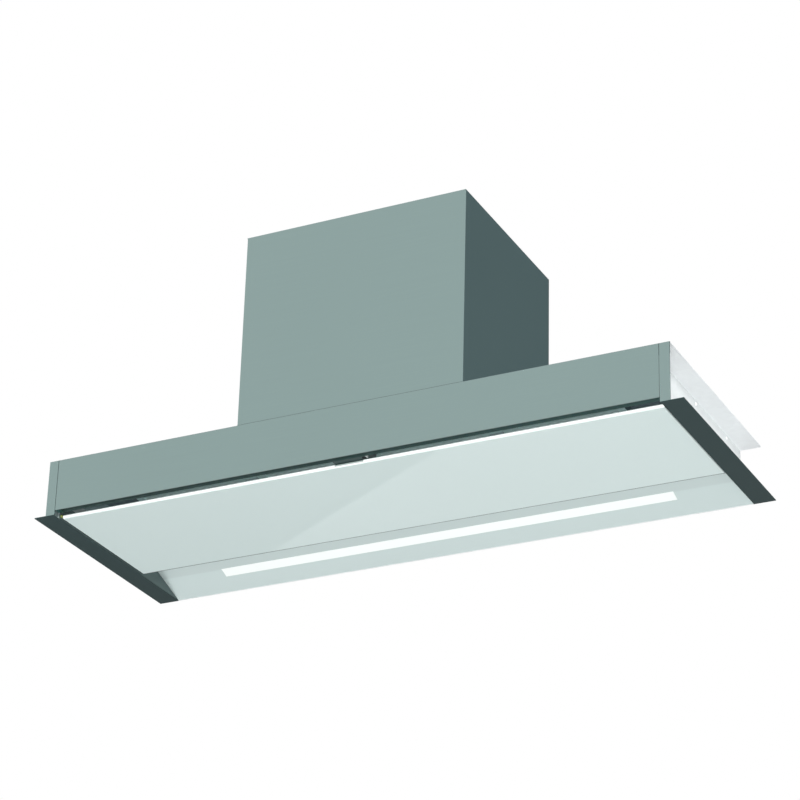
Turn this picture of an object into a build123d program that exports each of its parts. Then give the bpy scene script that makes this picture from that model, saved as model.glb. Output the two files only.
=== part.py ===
from build123d import *

import os
from math import cos, radians, sin, tan

# Built-in canopy hood: a wide, shallow steel canopy with a hinged white glass panel and a
# sloping light shelf underneath, and a plain motor housing on top.
# X runs to the right, Y to the back and Z up. The origin is centred under the canopy, level
# with the underside of its side flanges. Lengths are in millimetres.

# Canopy
overall_width = 900.0
body_width = 866.0
body_depth = 320.0
body_height = 78.5
sheet = 1.0
flange_sheet = 1.2
flange_lap = 12.3
side_inset = 28.4
lip_height = 25.0
rail_leg = 20.0
strip_width = 13.2
seam = 0.6
fascia_bottom = 7.0
fascia_return = 10.0
plate_fold = 16.0
angle_leg = 14.0
fixing_pitch_x = 500.0
fixing_pitch_y = 200.0
fixing_radius = 3.5
seat_gap = 0.2
through = 4.0

# Baffle and grease filters
baffle_height = 51.0
baffle_depth = 212.0
baffle_angle = 10.0
filter_front = 68.0
filter_width = 344.0
filter_depth = 131.0
filter_thickness = 10.0
filter_gap = 2.0
filter_rim = 10.0
filter_seal = 8.0
mesh_lip = 3.0
mesh_thickness = 6.6
mesh_slack = 0.3
ledge_reach = 8.0
ledge_half = 300.0

# Filter latches
latch_travel = 4.4
latch_width = 12.0
stem_depth = 4.0
stem_inset = 12.5
hook_thickness = 2.0
knob_width = 18.0
knob_depth = 10.0
knob_overhang = 2.5
knob_height = 4.0
latch_block_width = 40.0
latch_block_depth = 14.0
latch_slack = 0.3

# Light shelf
shelf_angle = 19.6
shelf_front = 210.0
light_length = 658.0
light_start = 31.0
light_width = 16.0
cover_thickness = 2.0
cover_slack = 0.2
cover_ledge = 1.5
profile_wall = 4.0
profile_height = 12.0
board_thickness = 1.2
driver_length = 160.0
driver_depth = 44.0
driver_height = 24.0
driver_centre_x = -210.0
driver_gap = 6.0
case_edge = 3.0

# Glass panel and its tray
glass_side_gap = 2.4
glass_front = 18.5
glass_rear = 222.0
glass_bottom = 2.0
glass_thickness = 4.8
glass_edge = 0.6
notch_width = 40.0
notch_depth = 1.2
notch_height = 2.4
tray_side_inset = 18.3
tray_front = 42.0
tray_rear = 198.0
tray_height = 8.0

# Panel hinges and catches
hinge_y = 214.0
bracket_y = 206.0
hinge_z = 14.5
hinge_x = 330.0
hinge_leaf = 2.0
hinge_eye = 6.0
hinge_side_gap = 0.4
pin_radius = 2.5
pin_fit = 0.02
running_fit = 0.05
pin_head_radius = 4.0
pin_head = 1.4
bracket_foot = 12.0
bracket_width = 7.0
arm_foot = 14.0
arm_length = 35.0
catch_y = 65.0
catch_length = 16.0
catch_width = 12.0
catch_gap = 0.3
strike_height = 4.0
strike_length = 14.0
strike_reach = 17.0
stud_y = 17.5
stud_z = 5.5
stud_radius = 2.0
stud_reach = 1.6
stud_shank = 1.4

# Control pod
pod_width = 46.6
pod_centre_x = 3.3
pod_depth = 29.5
pod_height = 18.0
pod_wall = 1.0
pod_front_gap = 0.5
tongue_width = 40.0
tongue_reach = 7.5
tongue_thickness = 2.0
pod_board_height = 7.0
pod_board = 1.6
post_radius = 2.0
post_pitch_x = 28.0
post_pitch_y = 14.8
post_y = 28.2
switch_size = 3.5
switch_drop = 1.4
button_x = 22.5
button_y = 15.5
button_radius = 2.5
button_flange = 2.8
button_proud = 0.9
button_length = 5.5
button_flange_height = 0.8
lens_length = 6.0
lens_height = 4.0

# Motor housing
hood_height = 350.0
housing_width = 316.0
housing_depth = 262.0
housing_offset = 5.0
housing_bend = 1.5
housing_foot = 12.0
opening_margin = 14.0
lid_flange = 12.0

# Duct collar and flaps
collar_radius = 75.0
collar_wall = 1.8
collar_height = 28.0
collar_flange = 88.0
collar_flange_sheet = 1.5
collar_screw_circle = 81.5
stop_ledge = 3.7
stop_height = 2.5
flap_clearance = 1.2
flap_thickness = 1.2
flap_start = 4.0
flap_pin_radius = 1.5
knuckle_radius = 2.6
knuckle_inner = 18.0
knuckle_outer_start = 20.0
knuckle_outer_end = 46.0
flap_seat_gap = 0.3

# Blower
fan_y = 115.0
fan_z = 195.0
volute_step = 14.0
volute_radius = 86.0
scroll_width = 130.0
scroll_sheet = 1.2
scroll_top = 318.0
inlet_radius = 56.0
inlet_throat = 54.0
inlet_flange = 68.0
inlet_depth = 10.0
ring_sheet = 1.5
mouth_edge = 1.2
impeller_radius = 72.0
impeller_inner = 58.0
impeller_length = 112.0
impeller_disc = 2.5
impeller_ring = 2.0
blade_count = 36
blade_thickness = 1.2
blade_angle = 35.0
hub_radius = 12.0
hub_left = 12.0
hub_right = 18.0
shaft_radius = 4.0
motor_radius = 42.0
motor_length = 58.0
motor_left = 75.0
motor_bearing_radius = 11.0
motor_bearing_width = 7.0
spider_sheet = 3.0
spider_arm = 16.0
damper_reach = 78.0
damper_radius = 6.0
blower_rail_height = 30.0
blower_rail_foot = 16.0
blower_rail_sheet = 2.0
adapter_wall = 1.5
motor_edge = 4.0
spider_hub = 30.0
damper_pad = 9.0

# Electrics in the motor housing
box_length = 54.0
box_depth = 90.0
box_height = 86.0
box_y = 61.0
box_drop = 13.0
capacitor_radius = 17.5
capacitor_height = 60.0
capacitor_edge = 2.0
gland_inset = 33.0
gland_z = 310.0
gland_thread = 8.0
gland_bore = 4.0
gland_nut = 11.0
gland_body = 9.0
gland_dome = 7.0
gland_edge = 2.3
gland_lock_nut = 5.0
terminal_length = 36.0
terminal_depth = 20.0
terminal_height = 22.0
terminal_z = 266.0

# Screws
screw_radius = 2.0
screw_head = 2.5
screw_head_height = 1.6
screw_slack = 0.15
screw_point = 3.0
wall_screw_y = (161.0, 269.0)
wall_screw_drop = 4.6
housing_screw_x = 100.0
housing_screw_y = (60.0, 200.0)
back_screw_z = (100.0, 214.0, 328.0)

# Places that follow from the sizes
front_y = -body_depth / 2
rear_y = body_depth / 2
half_body = body_width / 2
lip_x = half_body - flange_lap
wall_x = half_body - side_inset
plate_z = body_height - sheet
step_z = lip_height - flange_sheet
inner_x = wall_x - sheet
baffle_top = baffle_height + sheet
glass_top = glass_bottom + glass_thickness
tray_floor = glass_top + sheet
slope = radians(shelf_angle)
filter_bottom = baffle_height - filter_thickness
housing_left = housing_offset - housing_width / 2
housing_right = housing_offset + housing_width / 2
housing_top = hood_height - sheet
face_top = body_height - seam
box_z = housing_top - box_drop - box_height / 2
glass_width = 2 * (lip_x - glass_side_gap)
tray_width = glass_width - 2 * tray_side_inset
gland_x = housing_right - gland_inset
wing_x = lip_x - seat_gap
foot_edge = sheet + housing_foot
foot_z = (body_height, body_height + sheet)
sides = ((-1, "left"), (1, "right"))


def behind(distance):
    """Y of a point this far behind the front face."""
    return front_y + distance


shelf_plane = Plane(
    origin=(0, rear_y, 0), x_dir=(1, 0, 0), z_dir=(0, -sin(slope), -cos(slope))
)
hinge_axis_y = behind(hinge_y)
fan_centre_y = behind(fan_y)
# Midway between the tongue of the scroll and its back
collar_centre_y = fan_centre_y + volute_radius / 2 + volute_step
flap_axis_z = hood_height + stop_height + flap_seat_gap + flap_thickness / 2


def block(x, y, z, mode=Mode.ADD):
    """Add a block that spans three pairs of coordinates to the part being built."""
    centre = [(pair[0] + pair[1]) / 2 for pair in (x, y, z)]
    spans = [abs(pair[1] - pair[0]) for pair in (x, y, z)]
    with Locations(tuple(centre)):
        Box(*spans, mode=mode)


def folded(plane, points, thickness):
    """Section of a sheet folded through the points, with its thickness on their left."""
    with BuildSketch(plane) as section:
        with BuildLine():
            Polyline(*points)
            offset(amount=thickness, side=Side.LEFT, kind=Kind.INTERSECTION)
        make_face()
    return section.sketch


def rod(start, direction, radius, length, mode=Mode.ADD):
    """Add a round rod from a point along a direction to the part being built."""
    with BuildSketch(Plane(origin=start, z_dir=direction)) as disc:
        Circle(radius)
    extrude(disc.sketch, amount=length, mode=mode)


def screw(seat, direction, depth):
    """Add a pan head screw whose head sits on a point and whose shank runs along a direction."""
    outward = tuple(-part for part in direction)
    rod(seat, outward, screw_head, screw_head_height)
    rod(seat, direction, screw_radius, depth)


def screw_hole(seat, direction, depth=through):
    """Cut the clearance hole of a screw."""
    rod(seat, direction, screw_radius + screw_slack, depth, mode=Mode.SUBTRACT)


def save(builder, name):
    """Label a finished piece and write its file."""
    builder.part.label = name
    export_step(builder.part, f"parts/{name}.step")


os.makedirs("parts", exist_ok=True)

wall_screws = [
    ((side * wall_x, behind(y), plate_z - wall_screw_drop), (-side, 0, 0))
    for side, _ in sides
    for y in wall_screw_y
]
foot_screws = [
    ((housing_offset + x, behind(sheet + housing_foot / 2), body_height + sheet), (0, 0, -1))
    for x in (-housing_screw_x, housing_screw_x)
] + [
    ((housing_offset + side * (housing_width / 2 - sheet - housing_foot / 2), behind(y),
      body_height + sheet), (0, 0, -1))
    for side, _ in sides
    for y in housing_screw_y
]
back_screws = [
    ((housing_offset + side * (housing_width / 2 - sheet - housing_foot / 2),
      behind(housing_depth), z), (0, -1, 0))
    for side, _ in sides
    for z in back_screw_z
]
collar_screw_offset = collar_screw_circle * cos(radians(45))
collar_screws_at = [
    ((housing_offset + x * collar_screw_offset, collar_centre_y + y * collar_screw_offset,
      hood_height + collar_flange_sheet), (0, 0, -1))
    for x in (-1, 1)
    for y in (-1, 1)
]

# Top plate, with its front fold, the air opening and the fixing holes
opening_x = (
    housing_left + sheet + housing_foot + opening_margin,
    housing_right - sheet - housing_foot - opening_margin,
)
opening_y = (
    behind(sheet + housing_foot + opening_margin),
    behind(housing_depth - sheet - housing_foot - opening_margin),
)
with BuildPart() as top_plate:
    extrude(
        folded(
            Plane.YZ.offset(-half_body),
            [(rear_y, body_height), (behind(sheet), body_height),
             (behind(sheet), body_height - plate_fold)],
            sheet,
        ),
        amount=body_width,
    )
    block(opening_x, opening_y, (plate_z - sheet, body_height + sheet), Mode.SUBTRACT)
    with Locations(Plane.XY.offset(body_height)):
        with GridLocations(fixing_pitch_x, fixing_pitch_y, 2, 2):
            Hole(fixing_radius, depth=through)
    for seat, direction in foot_screws:
        screw_hole(seat, direction)
save(top_plate, "top_plate")

# Front fascia with its folded lower edge
fascia_half = half_body - strip_width - seam
with BuildPart() as front_fascia:
    extrude(
        folded(
            Plane.YZ.offset(-fascia_half),
            [(front_y, face_top), (front_y, fascia_bottom),
             (behind(fascia_return), fascia_bottom)],
            sheet,
        ),
        amount=2 * fascia_half,
    )
save(front_fascia, "front_fascia")

# Side rails: flange, lip, step, leg and corner strip folded from one sheet
for side, name in sides:
    with BuildPart() as side_rail:
        block((side * lip_x, side * overall_width / 2), (front_y, rear_y), (0, flange_sheet))
        block(
            (side * lip_x, side * (lip_x + flange_sheet)),
            (behind(sheet), rear_y),
            (0, lip_height),
        )
        block(
            (side * wall_x, side * (lip_x + flange_sheet)),
            (behind(2 * sheet), rear_y),
            (step_z, lip_height),
        )
        block(
            (side * wall_x, side * (wall_x + flange_sheet)),
            (behind(2 * sheet), rear_y),
            (step_z, lip_height + rail_leg),
        )
        block(
            (side * (half_body - strip_width), side * half_body),
            (front_y, behind(sheet)),
            (0, face_top),
        )
        rod(
            (side * (lip_x - sheet), behind(stud_y), stud_z),
            (side, 0, 0),
            stud_shank + screw_slack,
            2 * sheet + flange_sheet,
            mode=Mode.SUBTRACT,
        )
    save(side_rail, f"side_rail_{name}")

# Side walls
for side, name in sides:
    with BuildPart() as side_wall:
        block(
            (side * inner_x, side * wall_x),
            (behind(2 * sheet), rear_y - sheet),
            (step_z, plate_z),
        )
        for seat, direction in wall_screws:
            if seat[0] * side > 0:
                screw_hole(seat, direction)
    save(side_wall, f"side_wall_{name}")

# Angles that join the side walls to the top plate, and those that hold the baffle plate
with BuildPart() as joining_angles:
    for side, _ in sides:
        block(
            (side * (inner_x - sheet), side * inner_x),
            (behind(3 * sheet), rear_y - sheet),
            (plate_z - angle_leg, plate_z),
        )
        block(
            (side * (inner_x - angle_leg), side * inner_x),
            (behind(3 * sheet), rear_y - sheet),
            (plate_z - sheet, plate_z),
        )
        block(
            (side * (inner_x - sheet), side * inner_x),
            (behind(3 * sheet), behind(baffle_depth)),
            (baffle_top, baffle_top + baffle_angle),
        )
        block(
            (side * (inner_x - baffle_angle), side * inner_x),
            (behind(3 * sheet), behind(baffle_depth)),
            (baffle_top, baffle_top + sheet),
        )
    for seat, direction in wall_screws:
        screw_hole(seat, direction)
save(joining_angles, "joining_angles")

# Back wall, wider below the step of the side rails
with BuildPart() as back_wall:
    block((-wall_x, wall_x), (rear_y - sheet, rear_y), (0, plate_z))
    block((-wing_x, wing_x), (rear_y - sheet, rear_y), (0, step_z - seat_gap))
save(back_wall, "back_wall")

# Baffle plate: strips before and behind the filters, and bars beside and between them
filter_pitch = filter_width + filter_gap
filter_centre_y = behind(filter_front + filter_depth / 2)
window_start = filter_gap / 2 + filter_seal
window_end = filter_gap / 2 + filter_width - filter_seal
window_front = filter_front + filter_seal
window_rear = filter_front + filter_depth - filter_seal
with BuildPart() as baffle_plate:
    for start, end in ((3 * sheet, window_front), (window_rear, baffle_depth)):
        block((-inner_x, inner_x), (behind(start), behind(end)), (baffle_height, baffle_top))
    for bar in ((-inner_x, -window_end), (-window_start, window_start), (window_end, inner_x)):
        block(
            bar,
            (behind(window_front + seat_gap), behind(window_rear - seat_gap)),
            (baffle_height, baffle_top),
        )
save(baffle_plate, "baffle_plate")

# Grease filters: a rim with a groove, and the mesh pack in the groove
latch_block_y = behind(filter_front + filter_rim + latch_block_depth / 2)
stem_front = filter_front + stem_inset
slot_length = stem_depth + latch_travel + 2 * latch_slack
slot_centre_y = behind(stem_front - latch_slack + slot_length / 2)
groove_height = mesh_thickness + 2 * mesh_slack
groove_bottom = filter_bottom + (filter_thickness - groove_height) / 2
for side, name in sides:
    centre_x = side * filter_pitch / 2
    with BuildPart() as filter_frame:
        with BuildSketch(Plane.XY.offset(filter_bottom)):
            with Locations((centre_x, filter_centre_y)):
                Rectangle(filter_width, filter_depth)
                Rectangle(
                    filter_width - 2 * filter_rim,
                    filter_depth - 2 * filter_rim,
                    mode=Mode.SUBTRACT,
                )
            with Locations((centre_x, latch_block_y)):
                Rectangle(latch_block_width, latch_block_depth)
            with Locations((centre_x, slot_centre_y)):
                Rectangle(latch_width + 2 * latch_slack, slot_length, mode=Mode.SUBTRACT)
        extrude(amount=filter_thickness)
        with BuildSketch(Plane.XY.offset(groove_bottom)):
            with Locations((centre_x, filter_centre_y)):
                Rectangle(
                    filter_width - 2 * filter_rim + 2 * mesh_lip,
                    filter_depth - 2 * filter_rim + 2 * mesh_lip,
                )
            with Locations((centre_x, latch_block_y - mesh_lip / 2)):
                Rectangle(
                    latch_block_width, latch_block_depth + mesh_lip, mode=Mode.SUBTRACT
                )
        extrude(amount=groove_height, mode=Mode.SUBTRACT)
    save(filter_frame, f"filter_frame_{name}")

    with BuildPart() as filter_mesh:
        with BuildSketch(Plane.XY.offset(groove_bottom + mesh_slack)):
            with Locations((centre_x, filter_centre_y)):
                Rectangle(
                    filter_width - 2 * (filter_rim - mesh_lip + mesh_slack),
                    filter_depth - 2 * (filter_rim - mesh_lip + mesh_slack),
                )
            with Locations((centre_x, latch_block_y - mesh_lip / 2)):
                Rectangle(
                    latch_block_width + 2 * mesh_slack,
                    latch_block_depth + mesh_lip + 2 * mesh_slack,
                    mode=Mode.SUBTRACT,
                )
        extrude(amount=mesh_thickness)
    save(filter_mesh, f"filter_mesh_{name}")

    hook_bottom = baffle_top + latch_slack
    knob_top = filter_bottom - latch_slack
    hook_front = window_front - latch_travel + latch_slack
    half_latch = latch_width / 2
    with BuildPart() as filter_latch:
        block(
            (centre_x - half_latch, centre_x + half_latch),
            (behind(stem_front), behind(stem_front + stem_depth)),
            (knob_top - knob_height, hook_bottom + hook_thickness),
        )
        block(
            (centre_x - half_latch, centre_x + half_latch),
            (behind(hook_front), behind(stem_front + stem_depth)),
            (hook_bottom, hook_bottom + hook_thickness),
        )
        block(
            (centre_x - knob_width / 2, centre_x + knob_width / 2),
            (behind(stem_front - knob_overhang), behind(stem_front - knob_overhang + knob_depth)),
            (knob_top - knob_height, knob_top),
        )
    save(filter_latch, f"filter_latch_{name}")

# Ledge that carries the back edge of both filters
ledge_front = filter_front + filter_depth - ledge_reach
ledge_back = filter_front + filter_depth + seat_gap + sheet
with BuildPart() as filter_ledge:
    extrude(
        folded(
            Plane.YZ.offset(-ledge_half),
            [(behind(ledge_front), filter_bottom - sheet), (behind(ledge_back), filter_bottom - sheet),
             (behind(ledge_back), baffle_height)],
            sheet,
        ),
        amount=2 * ledge_half,
    )
save(filter_ledge, "filter_ledge")

# Sloping light shelf, narrower above the step of the side rails
# Distance up the slope at which the shelf's upper skin meets the back wall
shelf_start = sheet * (1 + sin(slope)) / cos(slope)
shelf_front_z = (body_depth - shelf_front) * tan(slope)
window_centre = light_start + light_width / 2
with BuildPart() as light_shelf:
    extrude(
        folded(
            Plane.YZ.offset(-wing_x),
            [(behind(shelf_front), baffle_height), (behind(shelf_front), shelf_front_z),
             (rear_y - shelf_start * cos(slope), shelf_start * sin(slope))],
            sheet,
        ),
        amount=2 * wing_x,
    )
    for side, _ in sides:
        block(
            (side * (inner_x - seat_gap), side * lip_x),
            (front_y, rear_y),
            (step_z - seat_gap, baffle_top),
            Mode.SUBTRACT,
        )
    with BuildSketch(shelf_plane):
        with Locations((0, window_centre)):
            Rectangle(light_length, light_width)
    extrude(amount=through, both=True, mode=Mode.SUBTRACT)
save(light_shelf, "light_shelf")

# Light profile on the hidden side of the shelf, with its board and opal cover
with BuildPart() as light_profile:
    with BuildSketch(shelf_plane.offset(-sheet)):
        with Locations((0, window_centre)):
            Rectangle(light_length + 2 * profile_wall, light_width + 2 * profile_wall)
    extrude(amount=-profile_height)
    with BuildSketch(shelf_plane.offset(-sheet)):
        with Locations((0, window_centre)):
            Rectangle(light_length, light_width)
    extrude(amount=-(cover_thickness - sheet), mode=Mode.SUBTRACT)
    with BuildSketch(shelf_plane.offset(-cover_thickness)):
        with Locations((0, window_centre)):
            Rectangle(light_length - 2 * cover_ledge, light_width - 2 * cover_ledge)
    extrude(amount=-(profile_height - cover_thickness - cover_ledge), mode=Mode.SUBTRACT)
save(light_profile, "light_profile")

board_depth = profile_height - cover_ledge - board_thickness
with BuildPart() as light_board:
    with BuildSketch(shelf_plane.offset(-board_depth)):
        with Locations((0, window_centre)):
            Rectangle(
                light_length - 2 * cover_ledge - 2 * cover_slack,
                light_width - 2 * cover_ledge - 2 * cover_slack,
            )
    extrude(amount=-board_thickness)
save(light_board, "light_board")

with BuildPart() as light_cover:
    with BuildSketch(shelf_plane):
        with Locations((0, window_centre)):
            Rectangle(light_length - 2 * cover_slack, light_width - 2 * cover_slack)
    extrude(amount=-cover_thickness)
save(light_cover, "light_cover")

driver_centre_y = rear_y - sheet - driver_gap - driver_depth / 2
with BuildPart() as light_driver:
    block(
        (driver_centre_x - driver_length / 2, driver_centre_x + driver_length / 2),
        (driver_centre_y - driver_depth / 2, driver_centre_y + driver_depth / 2),
        (plate_z - driver_height, plate_z),
    )
    fillet(light_driver.edges().filter_by(Axis.Z), radius=case_edge)
save(light_driver, "light_driver")

# Glass panel with the finger notch in its front edge
with BuildPart() as glass_panel:
    block(
        (-glass_width / 2, glass_width / 2),
        (behind(glass_front), behind(glass_rear)),
        (glass_bottom, glass_top),
    )
    chamfer(glass_panel.faces().sort_by(Axis.Z)[0].edges(), length=glass_edge)
    block(
        (-notch_width / 2, notch_width / 2),
        (behind(glass_front), behind(glass_front + notch_depth)),
        (glass_top - notch_height, glass_top),
        Mode.SUBTRACT,
    )
save(glass_panel, "glass_panel")

# Steel tray bonded to the back of the glass
arm_x = hinge_x + hinge_leaf + hinge_side_gap
with BuildPart() as panel_tray:
    block(
        (-tray_width / 2, tray_width / 2),
        (behind(tray_front), behind(tray_rear)),
        (glass_top, glass_top + tray_height),
    )
    block(
        (-tray_width / 2 + sheet, tray_width / 2 - sheet),
        (behind(tray_front + sheet), behind(tray_rear - sheet)),
        (tray_floor, glass_top + 2 * tray_height),
        Mode.SUBTRACT,
    )
    for side, _ in sides:
        block(
            (side * (arm_x - sheet), side * (arm_x + hinge_leaf + sheet)),
            (behind(tray_rear - 2 * sheet), behind(tray_rear + sheet)),
            (tray_floor, glass_top + 2 * tray_height),
            Mode.SUBTRACT,
        )
save(panel_tray, "panel_tray")

# Hinge brackets that hang from the baffle and reach back to the hinge line
bracket_front = behind(bracket_y - bracket_width / 2)
bracket_rear = behind(bracket_y + bracket_width / 2)
with BuildPart() as hinge_brackets:
    for side, _ in sides:
        leaf_start = hinge_x if side > 0 else -hinge_x - hinge_leaf
        with BuildSketch(Plane.YZ.offset(leaf_start)) as leaf:
            with Locations((hinge_axis_y, hinge_z)):
                Circle(hinge_eye)
            with Locations((behind(bracket_y), (hinge_z + baffle_height) / 2)):
                Rectangle(bracket_width, baffle_height - hinge_z)
            with Locations(((bracket_front + hinge_axis_y) / 2, hinge_z)):
                Rectangle(hinge_axis_y - bracket_front, 2 * hinge_eye)
            with Locations((hinge_axis_y, hinge_z)):
                Circle(pin_radius + pin_fit, mode=Mode.SUBTRACT)
        extrude(leaf.sketch, amount=hinge_leaf)
        block(
            (side * (hinge_x - bracket_foot), side * (hinge_x + hinge_leaf)),
            (bracket_front, bracket_rear),
            (baffle_height - hinge_leaf, baffle_height),
        )
save(hinge_brackets, "hinge_brackets")

# Hinge arms on the tray
arm_front = hinge_axis_y - arm_length
with BuildPart() as hinge_arms:
    for side, _ in sides:
        leaf_start = arm_x if side > 0 else -arm_x - hinge_leaf
        with BuildSketch(Plane.YZ.offset(leaf_start)) as leaf:
            with BuildLine():
                Polyline(
                    (arm_front, tray_floor),
                    (behind(tray_rear), tray_floor),
                    (hinge_axis_y, hinge_z - hinge_eye),
                    (hinge_axis_y, hinge_z + hinge_eye),
                    (behind(tray_rear) - hinge_eye, hinge_z + hinge_eye),
                    (arm_front, tray_floor + 2 * hinge_leaf),
                    close=True,
                )
            make_face()
            with Locations((hinge_axis_y, hinge_z)):
                Circle(hinge_eye)
                Circle(pin_radius + running_fit, mode=Mode.SUBTRACT)
        extrude(leaf.sketch, amount=hinge_leaf)
        block(
            (side * arm_x, side * (arm_x + arm_foot)),
            (arm_front, behind(tray_rear - 2 * sheet)),
            (tray_floor, tray_floor + hinge_leaf),
        )
save(hinge_arms, "hinge_arms")

# Hinge pins, headed at both ends
pin_start = hinge_x - hinge_side_gap
pin_end = arm_x + hinge_leaf + hinge_side_gap
with BuildPart() as hinge_pins:
    for side, _ in sides:
        outward = (side, 0, 0)
        rod((side * pin_start, hinge_axis_y, hinge_z), outward, pin_radius, pin_end - pin_start)
        rod((side * (pin_start - pin_head), hinge_axis_y, hinge_z), outward, pin_head_radius, pin_head)
        rod((side * pin_end, hinge_axis_y, hinge_z), outward, pin_head_radius, pin_head)
save(hinge_pins, "hinge_pins")

# Strike plates on the tray and the magnets above them
strike_z = tray_floor + strike_height
with BuildPart() as strike_plates:
    for side, _ in sides:
        rim_x = tray_width / 2
        strike_y = (behind(catch_y - strike_length / 2), behind(catch_y + strike_length / 2))
        block((side * rim_x, side * (rim_x + strike_reach)), strike_y, (strike_z - sheet, strike_z))
        block((side * rim_x, side * (rim_x + sheet)), strike_y, (tray_floor, strike_z))
save(strike_plates, "strike_plates")

with BuildPart() as panel_magnets:
    for side, _ in sides:
        magnet_x = tray_width / 2 + strike_reach
        block(
            (side * (magnet_x - catch_width), side * magnet_x),
            (behind(catch_y - catch_length / 2), behind(catch_y + catch_length / 2)),
            (strike_z + catch_gap, step_z),
        )
save(panel_magnets, "panel_magnets")

# Brass studs that locate the panel's front corners
with BuildPart() as locating_studs:
    for side, _ in sides:
        rod((side * (lip_x - stud_reach), behind(stud_y), stud_z), (side, 0, 0), stud_radius, stud_reach)
        rod(
            (side * lip_x, behind(stud_y), stud_z),
            (side, 0, 0),
            stud_shank,
            flange_sheet + sheet,
        )
save(locating_studs, "locating_studs")

# Control pod behind the fascia's lower edge
pod_bottom = fascia_bottom + sheet
pod_front = fascia_return + pod_front_gap
pod_top = pod_bottom + pod_height
pod_left = pod_centre_x - pod_width / 2
pod_right = pod_centre_x + pod_width / 2
lens_y = (behind(button_y - lens_length / 2), behind(button_y + lens_length / 2))
board_bottom = pod_bottom + pod_board_height
with BuildPart() as control_pod:
    block((pod_left, pod_right), (behind(pod_front), behind(pod_front + pod_depth)), (pod_bottom, pod_top))
    block(
        (pod_left + pod_wall, pod_right - pod_wall),
        (behind(pod_front + pod_wall), behind(pod_front + pod_depth - pod_wall)),
        (pod_bottom + pod_wall, pod_top + pod_wall),
        Mode.SUBTRACT,
    )
    block(
        (-tongue_width / 2, tongue_width / 2),
        (behind(pod_front - tongue_reach), behind(pod_front)),
        (pod_bottom, pod_bottom + tongue_thickness),
    )
    with BuildSketch(Plane.XY.offset(pod_bottom + pod_wall / 2)) as posts:
        with Locations((pod_centre_x, behind(post_y))):
            with GridLocations(post_pitch_x, post_pitch_y, 2, 2):
                Circle(post_radius)
    extrude(posts.sketch, amount=pod_board_height - pod_wall / 2)
    rod(
        (button_x, behind(button_y), pod_bottom - pod_wall),
        (0, 0, 1),
        button_radius + running_fit,
        3 * pod_wall,
        mode=Mode.SUBTRACT,
    )
    block(
        (pod_right - pod_wall, pod_right),
        lens_y,
        (pod_bottom, pod_bottom + lens_height),
        Mode.SUBTRACT,
    )
save(control_pod, "control_pod")

with BuildPart() as control_board:
    block(
        (pod_left + pod_wall + seat_gap, pod_right - pod_wall - seat_gap),
        (
            behind(pod_front + pod_wall + seat_gap),
            behind(pod_front + pod_depth - pod_wall - seat_gap),
        ),
        (board_bottom, board_bottom + pod_board),
    )
    block(
        (button_x - switch_size / 2, button_x + switch_size / 2),
        (behind(button_y - switch_size / 2), behind(button_y + switch_size / 2)),
        (board_bottom - switch_drop, board_bottom),
    )
save(control_board, "control_board")

with BuildPart() as control_button:
    rod((button_x, behind(button_y), pod_bottom - button_proud), (0, 0, 1), button_radius, button_length)
    rod(
        (button_x, behind(button_y), pod_bottom + pod_wall + latch_slack),
        (0, 0, 1),
        button_flange,
        button_flange_height,
    )
save(control_button, "control_button")

with BuildPart() as indicator_lens:
    block((pod_right - pod_wall, pod_right), lens_y, (pod_bottom, pod_bottom + lens_height))
save(indicator_lens, "indicator_lens")

# Motor housing wrap: front, sides and the rear returns folded from one sheet
wrap_back = behind(housing_depth - sheet)
with BuildPart() as housing_wrap:
    with BuildSketch(Plane.XY.offset(body_height)) as wrap_section:
        with BuildLine():
            FilletPolyline(
                (housing_left + housing_foot, wrap_back),
                (housing_left, wrap_back),
                (housing_left, front_y),
                (housing_right, front_y),
                (housing_right, wrap_back),
                (housing_right - housing_foot, wrap_back),
                radius=housing_bend,
            )
            offset(amount=sheet, side=Side.LEFT)
        make_face()
    extrude(amount=housing_top - body_height)
    block(
        (housing_left + foot_edge, housing_right - foot_edge),
        (behind(sheet / 2), behind(foot_edge)),
        foot_z,
    )
    for inner, outer in (
        (housing_left + foot_edge, housing_left + sheet / 2),
        (housing_right - foot_edge, housing_right - sheet / 2),
    ):
        block((outer, inner), (behind(foot_edge + seam), wrap_back - sheet - seat_gap), foot_z)
    for seat, direction in foot_screws:
        screw_hole(seat, direction)
    for seat, direction in back_screws:
        screw_hole(seat, direction)
save(housing_wrap, "housing_wrap")

with BuildPart() as housing_back:
    block(
        (housing_left, housing_right),
        (wrap_back, behind(housing_depth)),
        (body_height, housing_top),
    )
    for seat, direction in back_screws:
        screw_hole(seat, direction)
    rod(
        (gland_x, wrap_back - sheet, gland_z),
        (0, 1, 0),
        gland_thread + screw_slack,
        3 * sheet,
        mode=Mode.SUBTRACT,
    )
save(housing_back, "housing_back")

outlet_radius = collar_radius - collar_wall
with BuildPart() as housing_lid:
    block(
        (housing_left, housing_right),
        (front_y, behind(housing_depth)),
        (housing_top, hood_height),
    )
    for outer, inner in (
        (housing_left + sheet, housing_left + 2 * sheet),
        (housing_right - 2 * sheet, housing_right - sheet),
    ):
        block(
            (outer, inner),
            (behind(2 * lid_flange), behind(housing_depth - 2 * lid_flange)),
            (housing_top - lid_flange, housing_top),
        )
    rod(
        (housing_offset, collar_centre_y, housing_top - sheet),
        (0, 0, 1),
        outlet_radius,
        3 * sheet,
        mode=Mode.SUBTRACT,
    )
    for seat, direction in collar_screws_at:
        screw_hole(seat, direction)
save(housing_lid, "housing_lid")

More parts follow.
